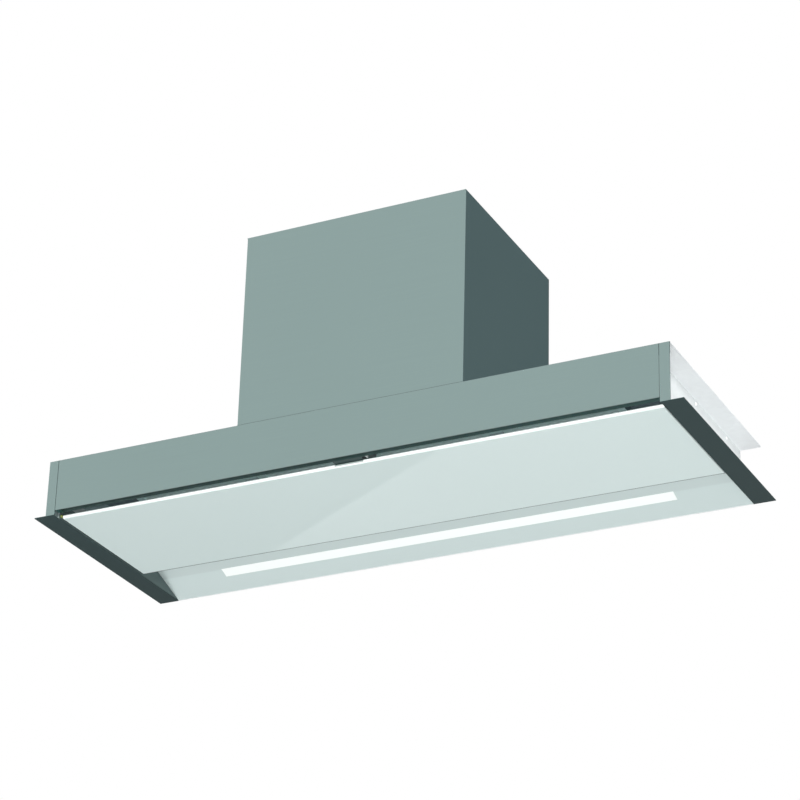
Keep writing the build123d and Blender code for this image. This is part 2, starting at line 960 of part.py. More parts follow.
# Duct collar with its flange and the ledge that stops the flaps
with BuildPart() as duct_collar:
    with BuildSketch(Plane.XY.offset(hood_height)) as foot_ring:
        with Locations((housing_offset, collar_centre_y)):
            Circle(collar_flange)
            Circle(outlet_radius, mode=Mode.SUBTRACT)
    extrude(foot_ring.sketch, amount=collar_flange_sheet)
    with BuildSketch(Plane.XY.offset(hood_height)) as tube_ring:
        with Locations((housing_offset, collar_centre_y)):
            Circle(collar_radius)
            Circle(outlet_radius, mode=Mode.SUBTRACT)
    extrude(tube_ring.sketch, amount=collar_height)
    with BuildSketch(Plane.XY.offset(hood_height)) as stop_ring:
        with Locations((housing_offset, collar_centre_y)):
            Circle(outlet_radius + collar_wall / 2)
            Circle(outlet_radius - stop_ledge, mode=Mode.SUBTRACT)
    extrude(stop_ring.sketch, amount=stop_height)
    rod(
        (housing_offset - collar_flange, collar_centre_y, flap_axis_z),
        (1, 0, 0),
        flap_pin_radius + pin_fit,
        2 * collar_flange,
        mode=Mode.SUBTRACT,
    )
    for seat, direction in collar_screws_at:
        screw_hole(seat, direction)
save(duct_collar, "duct_collar")

with BuildPart() as flap_pin:
    rod(
        (housing_offset - collar_radius + seat_gap, collar_centre_y, flap_axis_z),
        (1, 0, 0),
        flap_pin_radius,
        2 * (collar_radius - seat_gap),
    )
save(flap_pin, "flap_pin")

# Non-return flaps: two half discs whose knuckles share the pin
flap_radius = outlet_radius - flap_clearance
knuckles = {
    "front": ((-knuckle_outer_end, -knuckle_outer_start), (knuckle_outer_start, knuckle_outer_end)),
    "rear": ((-knuckle_inner, knuckle_inner),),
}
for way, name in ((-1, "front"), (1, "rear")):
    with BuildPart() as flap:
        with BuildSketch(Plane.XY.offset(flap_axis_z - flap_thickness / 2)) as half_disc:
            with Locations((housing_offset, collar_centre_y)):
                Circle(flap_radius)
            with Locations((housing_offset, collar_centre_y - way * (flap_radius - flap_start) / 2)):
                Rectangle(2 * flap_radius, flap_radius + flap_start, mode=Mode.SUBTRACT)
        extrude(half_disc.sketch, amount=flap_thickness)
        for start, end in knuckles[name]:
            rod(
                (housing_offset + start, collar_centre_y, flap_axis_z),
                (1, 0, 0),
                knuckle_radius,
                end - start,
            )
            block(
                (housing_offset + start, housing_offset + end),
                (collar_centre_y, collar_centre_y + way * (flap_start + flap_thickness)),
                (flap_axis_z - flap_thickness / 2, flap_axis_z + flap_thickness / 2),
            )
        rod(
            (housing_offset - flap_radius, collar_centre_y, flap_axis_z),
            (1, 0, 0),
            flap_pin_radius + running_fit,
            2 * flap_radius,
            mode=Mode.SUBTRACT,
        )
    save(flap, f"flap_{name}")

# Blower scroll: three quarter arcs that widen from the tongue to the outlet
half_scroll = scroll_width / 2
half_step = volute_step / 2
tongue = (fan_centre_y - half_step, fan_z - half_step + volute_radius)
front_point = (fan_centre_y - half_step - volute_radius, fan_z - half_step)
bottom_point = (fan_centre_y + half_step, fan_z - half_step - volute_radius - volute_step)
rear_point = (fan_centre_y + half_step + volute_radius + 2 * volute_step, fan_z + half_step)
scroll_left = housing_offset - half_scroll
scroll_right = housing_offset + half_scroll
inlet_faces = ((scroll_left - scroll_sheet, -1), (scroll_right + scroll_sheet, 1))


def volute(plane, growth):
    """Section of the scroll grown outwards by a thickness, cut level at its outlet."""
    with BuildSketch(plane) as section:
        with BuildLine():
            Line((tongue[0], scroll_top), tongue)
            RadiusArc(tongue, front_point, -volute_radius)
            RadiusArc(front_point, bottom_point, -volute_radius - volute_step)
            RadiusArc(bottom_point, rear_point, -volute_radius - 2 * volute_step)
            Polyline(rear_point, (rear_point[0], scroll_top), (tongue[0], scroll_top))
        make_face()
        if growth:
            offset(amount=growth)
            with Locations((collar_centre_y, scroll_top + volute_radius)):
                Rectangle(4 * volute_radius, 2 * volute_radius, mode=Mode.SUBTRACT)
    return section.sketch


with BuildPart() as scroll_wrap:
    extrude(volute(Plane.YZ.offset(scroll_left), scroll_sheet), amount=scroll_width)
    extrude(volute(Plane.YZ.offset(scroll_left), 0), amount=scroll_width, mode=Mode.SUBTRACT)
save(scroll_wrap, "scroll_wrap")

spider_x = housing_offset - motor_left
motor_screws_at = [
    ((spider_x - spider_sheet, fan_centre_y + damper_reach * cos(radians(turn)),
      fan_z + damper_reach * sin(radians(turn))), (1, 0, 0))
    for turn in (90, 210, 330)
]
for (face, way), name in zip(inlet_faces, ("left", "right")):
    with BuildPart() as scroll_side:
        extrude(volute(Plane.YZ.offset(face), scroll_sheet), amount=-way * scroll_sheet)
        rod(
            (face + way * sheet, fan_centre_y, fan_z),
            (-way, 0, 0),
            inlet_radius,
            scroll_sheet + 2 * sheet,
            mode=Mode.SUBTRACT,
        )
        if way < 0:
            for seat, direction in motor_screws_at:
                screw_hole(seat, direction, scroll_left - spider_x + 2 * spider_sheet)
    save(scroll_side, f"scroll_side_{name}")

# Inlet rings with rounded mouths
with BuildPart() as inlet_rings:
    for face, way in inlet_faces:
        outer = face + way * ring_sheet
        rod((outer, fan_centre_y, fan_z), (-way, 0, 0), inlet_flange, ring_sheet)
        rod((outer, fan_centre_y, fan_z), (-way, 0, 0), inlet_throat + ring_sheet, inlet_depth)
        rod((outer, fan_centre_y, fan_z), (-way, 0, 0), inlet_throat, inlet_depth, Mode.SUBTRACT)
    mouths = inlet_rings.edges().filter_by(GeomType.CIRCLE).filter_by(
        lambda edge: abs(edge.radius - inlet_throat) < sheet / 10
    )
    fillet([mouths.sort_by(Axis.X)[0], mouths.sort_by(Axis.X)[-1]], radius=mouth_edge)
save(inlet_rings, "inlet_rings")

# Impeller: two rows of blades on a middle disc, with end rings and a hub
impeller_left = housing_offset - impeller_length / 2
impeller_right = housing_offset + impeller_length / 2
blade_circle = (impeller_radius + impeller_inner) / 2
with BuildPart() as impeller:
    with BuildSketch(Plane.YZ.offset(impeller_left)) as blades:
        with Locations((fan_centre_y, fan_z)):
            with PolarLocations(blade_circle, blade_count):
                Rectangle(
                    impeller_radius - impeller_inner - blade_thickness,
                    blade_thickness,
                    rotation=blade_angle,
                )
    extrude(blades.sketch, amount=impeller_length)
    for start in (impeller_left, impeller_right - impeller_ring):
        with BuildSketch(Plane.YZ.offset(start)) as ring:
            with Locations((fan_centre_y, fan_z)):
                Circle(impeller_radius)
                Circle(impeller_inner, mode=Mode.SUBTRACT)
        extrude(ring.sketch, amount=impeller_ring)
    rod(
        (housing_offset - impeller_disc / 2, fan_centre_y, fan_z),
        (1, 0, 0),
        impeller_radius,
        impeller_disc,
    )
    rod((housing_offset - hub_left, fan_centre_y, fan_z), (1, 0, 0), hub_radius, hub_left + hub_right)
    rod(
        (impeller_left, fan_centre_y, fan_z),
        (1, 0, 0),
        shaft_radius + pin_fit,
        impeller_length,
        mode=Mode.SUBTRACT,
    )
save(impeller, "impeller")

# Motor with its shaft and bearings, on a three-armed bracket
motor_right = spider_x + motor_length
with BuildPart() as blower_motor:
    rod((spider_x, fan_centre_y, fan_z), (1, 0, 0), motor_radius, motor_length)
    fillet(blower_motor.edges().filter_by(GeomType.CIRCLE), radius=motor_edge)
    rod(
        (spider_x, fan_centre_y, fan_z),
        (1, 0, 0),
        shaft_radius + sheet,
        motor_length,
        mode=Mode.SUBTRACT,
    )
    for start in (spider_x, motor_right - motor_bearing_width):
        rod(
            (start, fan_centre_y, fan_z),
            (1, 0, 0),
            motor_bearing_radius,
            motor_bearing_width,
            mode=Mode.SUBTRACT,
        )
save(blower_motor, "blower_motor")

with BuildPart() as motor_bearings:
    for start in (spider_x, motor_right - motor_bearing_width):
        rod(
            (start, fan_centre_y, fan_z),
            (1, 0, 0),
            motor_bearing_radius - pin_fit,
            motor_bearing_width,
        )
    rod(
        (spider_x, fan_centre_y, fan_z),
        (1, 0, 0),
        shaft_radius + running_fit,
        motor_length,
        mode=Mode.SUBTRACT,
    )
save(motor_bearings, "motor_bearings")

shaft_start = spider_x + sheet
with BuildPart() as motor_shaft:
    rod(
        (shaft_start, fan_centre_y, fan_z),
        (1, 0, 0),
        shaft_radius,
        housing_offset + hub_right + sheet - shaft_start,
    )
    chamfer(motor_shaft.edges().filter_by(GeomType.CIRCLE), length=sheet / 2)
save(motor_shaft, "motor_shaft")

with BuildPart() as motor_bracket:
    with BuildSketch(Plane.YZ.offset(spider_x - spider_sheet)) as spider:
        with Locations((fan_centre_y, fan_z)):
            Circle(spider_hub)
            with PolarLocations(damper_reach / 2, 3, start_angle=90):
                Rectangle(damper_reach, spider_arm)
            with PolarLocations(damper_reach, 3, start_angle=90):
                Circle(damper_pad)
            Circle(hub_radius, mode=Mode.SUBTRACT)
    extrude(spider.sketch, amount=spider_sheet)
    for seat, direction in motor_screws_at:
        screw_hole(seat, direction)
save(motor_bracket, "motor_bracket")

with BuildPart() as motor_dampers:
    for (_, y, z), direction in motor_screws_at:
        rod((spider_x, y, z), direction, damper_radius, scroll_left - scroll_sheet - spider_x)
        screw_hole((spider_x, y, z), direction, scroll_left - spider_x)
save(motor_dampers, "motor_dampers")

# Rails that carry the scroll across the air opening
with BuildPart() as blower_rails:
    for face, way in inlet_faces:
        rail_y = (behind(foot_edge + seat_gap), wrap_back - sheet - seat_gap)
        block(
            (face, face + way * blower_rail_sheet),
            rail_y,
            (body_height, body_height + blower_rail_height),
        )
        block(
            (face, face + way * blower_rail_foot),
            rail_y,
            (body_height, body_height + blower_rail_sheet),
        )
save(blower_rails, "blower_rails")

# Adapter from the scroll's square outlet to the round collar
throat_depth = rear_point[0] - tongue[0]
with BuildPart() as outlet_adapter:
    for wall, mode in ((scroll_sheet, Mode.ADD), (scroll_sheet - adapter_wall, Mode.SUBTRACT)):
        with BuildSketch(Plane.XY.offset(scroll_top)) as square:
            with Locations((housing_offset, collar_centre_y)):
                Rectangle(scroll_width + 2 * wall, throat_depth + 2 * wall)
        with BuildSketch(Plane.XY.offset(housing_top)) as circle:
            with Locations((housing_offset, collar_centre_y)):
                Circle(outlet_radius - scroll_sheet + wall)
        loft([square.sketch, circle.sketch], mode=mode)
save(outlet_adapter, "outlet_adapter")

# Electrics on the right wall and the back of the housing
wall_face = housing_right - sheet
with BuildPart() as electronics_box:
    block(
        (wall_face - box_length, wall_face),
        (behind(box_y - box_depth / 2), behind(box_y + box_depth / 2)),
        (box_z - box_height / 2, box_z + box_height / 2),
    )
    fillet(electronics_box.faces().sort_by(Axis.X)[0].edges(), radius=case_edge)
save(electronics_box, "electronics_box")

with BuildPart() as capacitor:
    rod(
        (wall_face - capacitor_radius - seat_gap, behind(box_y), box_z - box_height / 2),
        (0, 0, -1),
        capacitor_radius,
        capacitor_height,
    )
    fillet(capacitor.edges().group_by(Axis.Z)[0], radius=capacitor_edge)
save(capacitor, "capacitor")

with BuildPart() as terminal_block:
    block(
        (gland_x - terminal_length / 2, gland_x + terminal_length / 2),
        (wrap_back - terminal_depth, wrap_back),
        (terminal_z - terminal_height / 2, terminal_z + terminal_height / 2),
    )
save(terminal_block, "terminal_block")

gland_front = wrap_back - gland_lock_nut
with BuildPart() as cable_gland:
    rod(
        (gland_x, gland_front - sheet, gland_z),
        (0, 1, 0),
        gland_thread,
        behind(housing_depth) - gland_front + 2 * sheet,
    )
    for start, reach in ((gland_front, gland_lock_nut), (behind(housing_depth), gland_lock_nut)):
        with BuildSketch(Plane(origin=(gland_x, start, gland_z), z_dir=(0, 1, 0))) as nut:
            RegularPolygon(gland_nut, 6)
        extrude(nut.sketch, amount=reach)
    rod(
        (gland_x, behind(housing_depth) + gland_lock_nut, gland_z),
        (0, 1, 0),
        gland_body,
        gland_dome,
    )
    fillet(cable_gland.edges().sort_by(Axis.Y)[-1], radius=gland_edge)
    rod(
        (gland_x, gland_front - 2 * sheet, gland_z),
        (0, 1, 0),
        gland_bore,
        4 * gland_nut,
        mode=Mode.SUBTRACT,
    )
save(cable_gland, "cable_gland")

# Screws, one node for each set
for places, depth, name in (
    (wall_screws, 2 * sheet + screw_point, "wall_screws"),
    (foot_screws + back_screws, 2 * sheet + screw_point, "housing_screws"),
    (collar_screws_at, collar_flange_sheet + sheet + screw_point, "collar_screws"),
    (motor_screws_at, scroll_left - spider_x + spider_sheet + sheet, "motor_screws"),
):
    with BuildPart() as screws:
        for seat, direction in places:
            screw(seat, direction, depth)
    save(screws, name)
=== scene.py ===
"""Finishes, fine pieces, light and camera for a built-in canopy hood with a hinged glass panel."""

import logging
import math
from dataclasses import dataclass
from enum import Enum
from typing import Callable, Iterable, Optional, Union

import bmesh
import bpy
from mathutils import Matrix, Vector


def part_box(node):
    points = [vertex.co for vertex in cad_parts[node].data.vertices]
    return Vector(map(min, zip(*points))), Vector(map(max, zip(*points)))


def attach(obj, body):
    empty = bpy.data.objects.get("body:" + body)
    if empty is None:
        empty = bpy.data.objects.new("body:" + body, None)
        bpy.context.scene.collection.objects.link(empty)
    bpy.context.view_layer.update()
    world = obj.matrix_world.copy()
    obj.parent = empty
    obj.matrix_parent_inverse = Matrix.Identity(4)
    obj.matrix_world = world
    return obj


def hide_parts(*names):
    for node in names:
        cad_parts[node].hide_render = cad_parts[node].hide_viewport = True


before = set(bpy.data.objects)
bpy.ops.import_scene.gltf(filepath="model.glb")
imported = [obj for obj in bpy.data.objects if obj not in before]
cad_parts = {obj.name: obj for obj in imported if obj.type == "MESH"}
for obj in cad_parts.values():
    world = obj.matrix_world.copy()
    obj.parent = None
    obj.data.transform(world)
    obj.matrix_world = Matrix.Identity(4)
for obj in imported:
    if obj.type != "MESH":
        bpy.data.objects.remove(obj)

log = logging.getLogger("canopy_hood")
Colour = tuple[float, float, float]
Place = tuple[float, float, float]
Pair = tuple[float, float]
MM = 0.001
PATTERN_MEAN = 0.5
WELD_DISTANCE = 0.001 * MM
FLAT_ANGLE = math.radians(0.5)
SHARP_ANGLE = math.radians(40)
BEVEL_SEGMENTS = 2
SIDES = ("left", "right")

# Limits of the zones on the sheets, in metres. FAR lies beyond the hood.
FAR = 1.0
ANYWHERE = (-FAR, FAR)
FACE_BACK = -0.1589
FLANGE_TOP = 0.0009
LIP_TOP = 0.0237
LIP = (-FAR, 0.4213)
RETURN = (-FAR, 0.0082)

# Linear colours that more than one finish or zone has.
STEEL = (0.278, 0.374, 0.363)
# Ground glass darkened as painted shade in the finger notch and as a painted reflection of the
# dark slot on the upper arris.
GLASS_PAINTED_SHADE_AND_REFLECTION = (0.40, 0.48, 0.46)


class Grain(Enum):
    """Direction of the texture of a metal surface, as its scale along X, Y and Z."""

    ALONG_X = (6.0, 1400.0, 1400.0)
    ALONG_Y = (1400.0, 6.0, 1400.0)
    EVEN = (260.0, 260.0, 260.0)


class Source(Enum):
    """Node that a pattern comes from, as its type, settings, sockets and output."""

    NOISE = ("ShaderNodeTexNoise", {"noise_dimensions": "3D"}, {}, "Fac")
    SPANGLES = ("ShaderNodeTexVoronoi", {"feature": "F1"}, {}, "Color")
    PITS = ("ShaderNodeTexVoronoi", {"feature": "SMOOTH_F1"}, {}, "Distance")
    TRACKS = ("ShaderNodeTexBrick", {"offset": 0.5}, {"Mortar Size": 0.08}, "Fac")


class Drive(Enum):
    """Recess in the head of a screw, as the corners of its outline in head radii."""

    CROSS = tuple(
        (math.cos(turn) * x - math.sin(turn) * y, math.sin(turn) * x + math.cos(turn) * y)
        for turn in (0.0, math.pi / 2, math.pi, 1.5 * math.pi)
        for x, y in ((0.50, -0.09), (0.50, 0.09), (0.11, 0.11))
    )
    HEX = tuple(
        (0.4 * math.cos(k * math.pi / 3), 0.4 * math.sin(k * math.pi / 3)) for k in range(6)
    )


@dataclass(frozen=True)
class Pattern:
    """A fine pattern of a finish, which swings what it varies about its mean.

    Args:
        scale: Its scale, for all axes or for each.
        tone: Swing of the base colour's tone.
        rough: Swing of the roughness.
        depth: Strength of its bump.
        relief: Height of its bump.
        detail: Detail of noise.
        blend: Roughness of noise.
        source: The node that it comes from.
    """

    scale: Union[float, Place]
    tone: float = 0.0
    rough: float = 0.0
    depth: float = 0.0
    relief: float = 0.1 * MM
    detail: float = 2.0
    blend: float = 0.5
    source: Source = Source.NOISE


@dataclass(frozen=True)
class Zone:
    """A part of a surface with a colour of its own, as a box of the Object coordinates; most zones
    here are painted light or shade.

    Args:
        part: What the part is.
        colour: Its colour.
        reach: Range of its distance from the middle of X.
        x: Its range along X.
        y: Its range along Y.
        z: Its range along Z.
        rough: Its mean roughness, if it has its own.
        metal: Its share of metal, if it has its own.
    """

    part: str
    colour: Colour
    reach: Pair = ANYWHERE
    x: Pair = ANYWHERE
    y: Pair = ANYWHERE
    z: Pair = ANYWHERE
    rough: Optional[float] = None
    metal: Optional[float] = None


def operator(operation: str) -> Callable[..., "Signal"]:
    """Makes an operator of a signal.

    Args:
        operation: What its Math node does.

    Returns:
        The operator.
    """

    def method(self: "Signal", *others: "Value") -> "Signal":
        """Adds the Math node."""
        return self.math(operation, self, *others)

    return method


@dataclass(frozen=True)
class Signal:
    """An output socket that can be used in arithmetic.

    Args:
        tree: The node tree that the socket belongs to.
        socket: The output socket.
    """

    tree: "NodeWork"
    socket: bpy.types.NodeSocket

    def math(self, operation: str, *values: "Value") -> "Signal":
        """Adds a Math node that starts with the given values."""
        return self.tree.node("ShaderNodeMath", {"operation": operation}, dict(enumerate(values)))

    __add__ = __radd__ = operator("ADD")
    __sub__ = operator("SUBTRACT")
    __mul__ = operator("MULTIPLY")
    __gt__ = operator("GREATER_THAN")
    __lt__ = operator("LESS_THAN")
    __abs__ = operator("ABSOLUTE")
    larger = operator("MAXIMUM")

    def __rsub__(self, other: float) -> "Signal":
        """Difference from a number."""
        return self.math("SUBTRACT", other, self)

    def swing(self, width: float) -> "Signal":
        """A pattern of 0 to 1, set about 0 and scaled to a width."""
        return (self - PATTERN_MEAN) * width


Value = Union[Signal, float, int, tuple]


class NodeWork:
    """Builds the nodes of one material or world.

    Args:
        owner: The material or world, which gets an empty node tree.
    """

    def __init__(self, owner: Union[bpy.types.Material, bpy.types.World]) -> None:
        """Empties the owner's node tree."""
        owner.use_nodes = True
        self.tree = owner.node_tree
        self.tree.nodes.clear()

    def node(
        self,
        kind: str,
        settings: dict[str, object],
        sockets: dict[object, Value],
        output: Union[str, int] = 0,
    ) -> Signal:
        """Adds a node.

        Args:
            kind: Blender's type name of the node.
            settings: Properties, set before its sockets.
            sockets: Values or links of its input sockets, by name or number.
            output: Name or number of the output that is returned.

        Returns:
            The output as a signal.
        """
        made = self.tree.nodes.new(kind)
        for key, setting in settings.items():
            setattr(made, key, setting)
        for key, value in sockets.items():
            if isinstance(value, Signal):
                self.tree.links.new(value.socket, made.inputs[key])
            else:
                made.inputs[key].default_value = value
        return Signal(self, made.outputs[output] if len(made.outputs) else None)

    def object_space(self) -> Signal:
        """Object coordinates."""
        return self.node("ShaderNodeTexCoord", {}, {}, "Object")

    def axis(self, name: str) -> Signal:
        """X, Y or Z of the Object coordinates, in metres."""
        return self.node("ShaderNodeSeparateXYZ", {}, {0: self.object_space()}, name)

    def mask(self, zone: Zone) -> Value:
        """1 inside a zone, and 0 elsewhere."""
        inside: Value = 1.0
        for name, (low, high) in (
            ("reach", zone.reach), ("X", zone.x), ("Y", zone.y), ("Z", zone.z),
        ):
            if (low, high) != ANYWHERE:
                place = abs(self.axis("X")) if name == "reach" else self.axis(name)
                inside = (place > low) * inside if low > -FAR else inside
                inside = (place < high) * inside if high < FAR else inside
        return inside

    def pattern(self, made: Pattern) -> Signal:
        """A pattern of about 0 to 1 on Object coordinates."""
        scale = made.scale if isinstance(made.scale, tuple) else (made.scale,) * 3
        vector = self.node(
            "ShaderNodeMapping", {"vector_type": "POINT"}, {0: self.object_space(), "Scale": scale}
        )
        kind, settings, own, output = made.source.value
        sockets = {"Vector": vector, "Scale": 1.0, **own}
        if made.source is Source.NOISE:
            sockets.update({"Detail": made.detail, "Roughness": made.blend})
        return self.node(kind, settings, sockets, output)

    def tint(self, colour: Union[Colour, Signal], tone: Value) -> Signal:
        """A colour times a tone."""
        return self.node(
            "ShaderNodeVectorMath", {"operation": "SCALE"}, {0: colour, "Scale": tone}
        )

    def mix(self, factor: Value, *pair: Union[Colour, Signal]) -> Signal:
        """A colour between two, by a factor."""
        under, over = (item if isinstance(item, Signal) else (*item, 1.0) for item in pair)
        return self.node(
            "ShaderNodeMix", {"data_type": "RGBA", "clamp_factor": True},
            {"Factor": factor, 6: under, 7: over}, 2,
        )

    def bump(self, height: Signal, strength: float, distance: float) -> Signal:
        """Normal of a surface with small heights on it."""
        sockets = {"Height": height, "Strength": strength, "Distance": distance}
        return self.node("ShaderNodeBump", {}, sockets, "Normal")


@dataclass(frozen=True)
class Finish:
    """A finish: one plain colour until a subclass gives it patterns and zones.

    Args:
        name: Name of the material.
        colour: Linear base colour.
        roughness: Mean roughness.
        metallic: Share of metal.
        gloss: Strength of the mirroring of what isn't metal.
        painted_light_rise: Gain of the tone for each metre to the back, which is painted light.
        painted_light_rise_start: Y where that gain starts.
        zones: Parts with colours of their own, most of them painted light or shade, of which a
            later one covers an earlier one.
    """

    name: str
    colour: Colour
    roughness: float = 0.5
    metallic: float = 0.0
    gloss: float = 0.5
    painted_light_rise: float = 0.0
    painted_light_rise_start: float = 0.0
    zones: tuple[Zone, ...] = ()

    def patterns(self) -> tuple[Pattern, ...]:
        """Fine patterns of the surface."""
        return ()

    def ground(self, work: NodeWork) -> Union[Colour, Signal]:
        """Base colour outside the zones."""
        return self.colour

    def regions(self, work: NodeWork) -> tuple[Signal, Value, Value]:
        """Mean base colour, roughness and share of metal over the zones."""
        colour, rough, metal = self.ground(work), self.roughness, self.metallic
        for zone in self.zones:
            inside = work.mask(zone)
            colour = work.mix(inside, colour, zone.colour)
            colour.socket.node.label = zone.part
            if zone.rough is not None:
                rough = rough + inside * (zone.rough - rough)
            if zone.metal is not None:
                metal = metal + inside * (zone.metal - metal)
        return colour, rough, metal

    def sockets(self, work: NodeWork) -> dict[str, Value]:
        """Values of the surface shader's sockets."""
        colour, rough, metal = self.regions(work)
        values = {"Metallic": metal, "Specular IOR Level": self.gloss}
        # Painted light: the tone grows to the back by painted_light_rise.
        tone = 1.0 + (work.axis("Y") - self.painted_light_rise_start) * self.painted_light_rise if self.painted_light_rise else 1.0
        for pattern in self.patterns():
            fine = work.pattern(pattern)
            tone = tone + fine.swing(pattern.tone) if pattern.tone else tone
            rough = rough + fine.swing(pattern.rough) if pattern.rough else rough
            if pattern.depth:
                values["Normal"] = work.bump(fine, pattern.depth, pattern.relief)
        return {**values, "Base Color": work.tint(colour, tone), "Roughness": rough}

    def material(self) -> bpy.types.Material:
        """Makes the material, or finds the one that was made before."""
        known = bpy.data.materials.get(self.name)
        if known:
            return known
        made = bpy.data.materials.new(self.name)
        work = NodeWork(made)
        surface = work.node("ShaderNodeBsdfPrincipled", {}, self.sockets(work))
        work.node("ShaderNodeOutputMaterial", {}, {"Surface": surface})
        return made


@dataclass(frozen=True)
class BrushedSteel(Finish):
    """Fine brushed stainless steel with faint clouds where it has been handled.

    Args:
        grain: Direction of the brushing.
    """

    grain: Grain = Grain.ALONG_X

    def patterns(self) -> tuple[Pattern, ...]:
        """Streaks and clouds."""
        return (
            Pattern(self.grain.value, tone=0.10, rough=0.12, depth=0.06, detail=3.0, blend=0.6),
            Pattern(5.0, tone=0.05, rough=0.06),
        )


@dataclass(frozen=True)
class RailSteel(BrushedSteel):
    """Steel of a side rail, one sheet painted as lit and shaded copies: pale on its outer faces as
    painted light, darker on its flange and its lip as painted shade, and the darker steel of the
    fascia on its corner strip.
    """

    gloss: float = 0.1
    zones: tuple[Zone, ...] = (
        # Painted shade on the lip's inner face.
        Zone(
            "lip", (0.108, 0.148, 0.148), reach=LIP, z=(FLANGE_TOP, LIP_TOP), rough=0.16, metal=0.3
        ),
        # Painted light that lifts the lip's shade near its front corner.
        Zone(
            "painted light on the lip's corner", (0.17, 0.22, 0.22), reach=LIP, y=(-FAR, -0.1490),
            z=(FLANGE_TOP, LIP_TOP),
        ),
        # Painted highlight along the lip's front edge.
        Zone(
            "painted highlight on the cut edge", (0.45, 0.52, 0.52), reach=LIP, y=(-0.1490, -0.1474),
            z=(FLANGE_TOP, 0.0105),
        ),
        # Painted light under the lip's fold.
        Zone("painted light under the lip's fold", (0.42, 0.50, 0.50), reach=LIP, z=(LIP_TOP, 0.0246)),
        # Painted shade on the down-facing flange.
        Zone("flange", (0.027, 0.047, 0.048), z=(-FAR, FLANGE_TOP), metal=0.0),
        Zone("corner strip", STEEL, y=(-FAR, FACE_BACK), z=(FLANGE_TOP, FAR), metal=1.0),
    )


@dataclass(frozen=True)
class FasciaSteel(BrushedSteel):
    """Steel of the fascia, dark on the underside of its return as painted shade, with painted
    light on the return's left corner.
    """

    zones: tuple[Zone, ...] = (
        # Painted shade on the return's down-facing underside.
        Zone("underside", (0.020, 0.094, 0.086), y=(FACE_BACK, FAR), z=RETURN),
        # Painted light on the return's left corner.
        Zone(
            "painted light on the left corner", (0.11, 0.30, 0.28), x=(-FAR, -0.4115), y=(FACE_BACK, FAR), z=RETURN
        ),
    )


@dataclass(frozen=True)
class ZincSheet(Finish):
    """Pale zinc-coated sheet."""

    def patterns(self) -> tuple[Pattern, ...]:
        """Faint spangles and clouds."""
        return (
            Pattern(140.0, tone=0.05, rough=0.18, source=Source.SPANGLES),
            Pattern(7.0, tone=0.06, detail=3.0),
        )


@dataclass(frozen=True)
class TopSheet(ZincSheet):
    """Zinc-coated sheet of the top plate, painted paler to the back as painted light that evens
    out the lamps' falloff, paler at the seams by the side walls as painted light that lifts their
    shade, and dark on the fold behind the fascia as painted shade.
    """

    # Painted light: paler to the back, against the lamps' falloff.
    painted_light_rise: float = 0.5
    zones: tuple[Zone, ...] = (
        # Painted light on the seams at the side walls.
        Zone(
            "painted light on the seams at the side walls", (0.90, 0.925, 0.935), reach=(-FAR, 0.4068), z=(-FAR, 0.0780)
        ),
        # Painted shade on the fold behind the fascia.
        Zone("fold behind the fascia", (0.05, 0.065, 0.065), y=(-FAR, -0.1575)),
    )


@dataclass(frozen=True)
class WallSheet(ZincSheet):
    """Zinc-coated sheet of a side wall, paler at the seam under the top plate as painted light,
    and darker inside the canopy as painted shade.
    """

    zones: tuple[Zone, ...] = (
        # Painted light on the seam under the top plate.
        Zone("painted light on the seam under the top plate", (0.80, 0.835, 0.835), z=(0.0757, FAR)),
        # Painted shade on the inner face, inside the canopy.
        Zone("inner face", (0.27, 0.38, 0.39), reach=(-FAR, 0.4041)),
    )


@dataclass(frozen=True)
class BackedGlass(Finish):
    """Clear glass with white paint on its back, painted paler to the rear as painted light against
    the lamps' falloff, and cool edges, with a painted shadow along the rear edge, painted shade in
    the finger notch and a painted reflection of the dark slot on the upper arris.

    Args:
        index: Index of refraction.
    """

    # Painted light: paler to the rear, against the lamps' falloff.
    painted_light_rise: float = 0.33
    painted_light_rise_start: float = -0.14
    index: float = 1.52
    zones: tuple[Zone, ...] = (
        # Painted shadow along the rear edge.
        Zone("painted shadow along the rear edge", (0.19, 0.225, 0.225), y=(0.0600, FAR)),
        Zone("polished edge", (0.98, 1.0, 0.99), z=(0.0026, FAR)),
        # Painted shade in the finger notch.
        Zone(
            "finger notch", GLASS_PAINTED_SHADE_AND_REFLECTION, reach=(-FAR, 0.0201), y=(-0.1413, FAR), z=(0.0043, FAR)
        ),
        # Painted reflection of the dark slot on the ground upper arris.
        Zone("upper arris", GLASS_PAINTED_SHADE_AND_REFLECTION, z=(0.0062, FAR)),
    )

    def patterns(self) -> tuple[Pattern, ...]:
        """Dust, and faint clouds in the paint."""
        return (
            Pattern(60.0, rough=0.01, detail=4.0, blend=0.7),
            Pattern(2.0, tone=0.02, detail=1.0),
        )

    def sockets(self, work: NodeWork) -> dict[str, Value]:
        """Values of the shader's sockets, with the refraction of glass."""
        return {**super().sockets(work), "IOR": self.index}


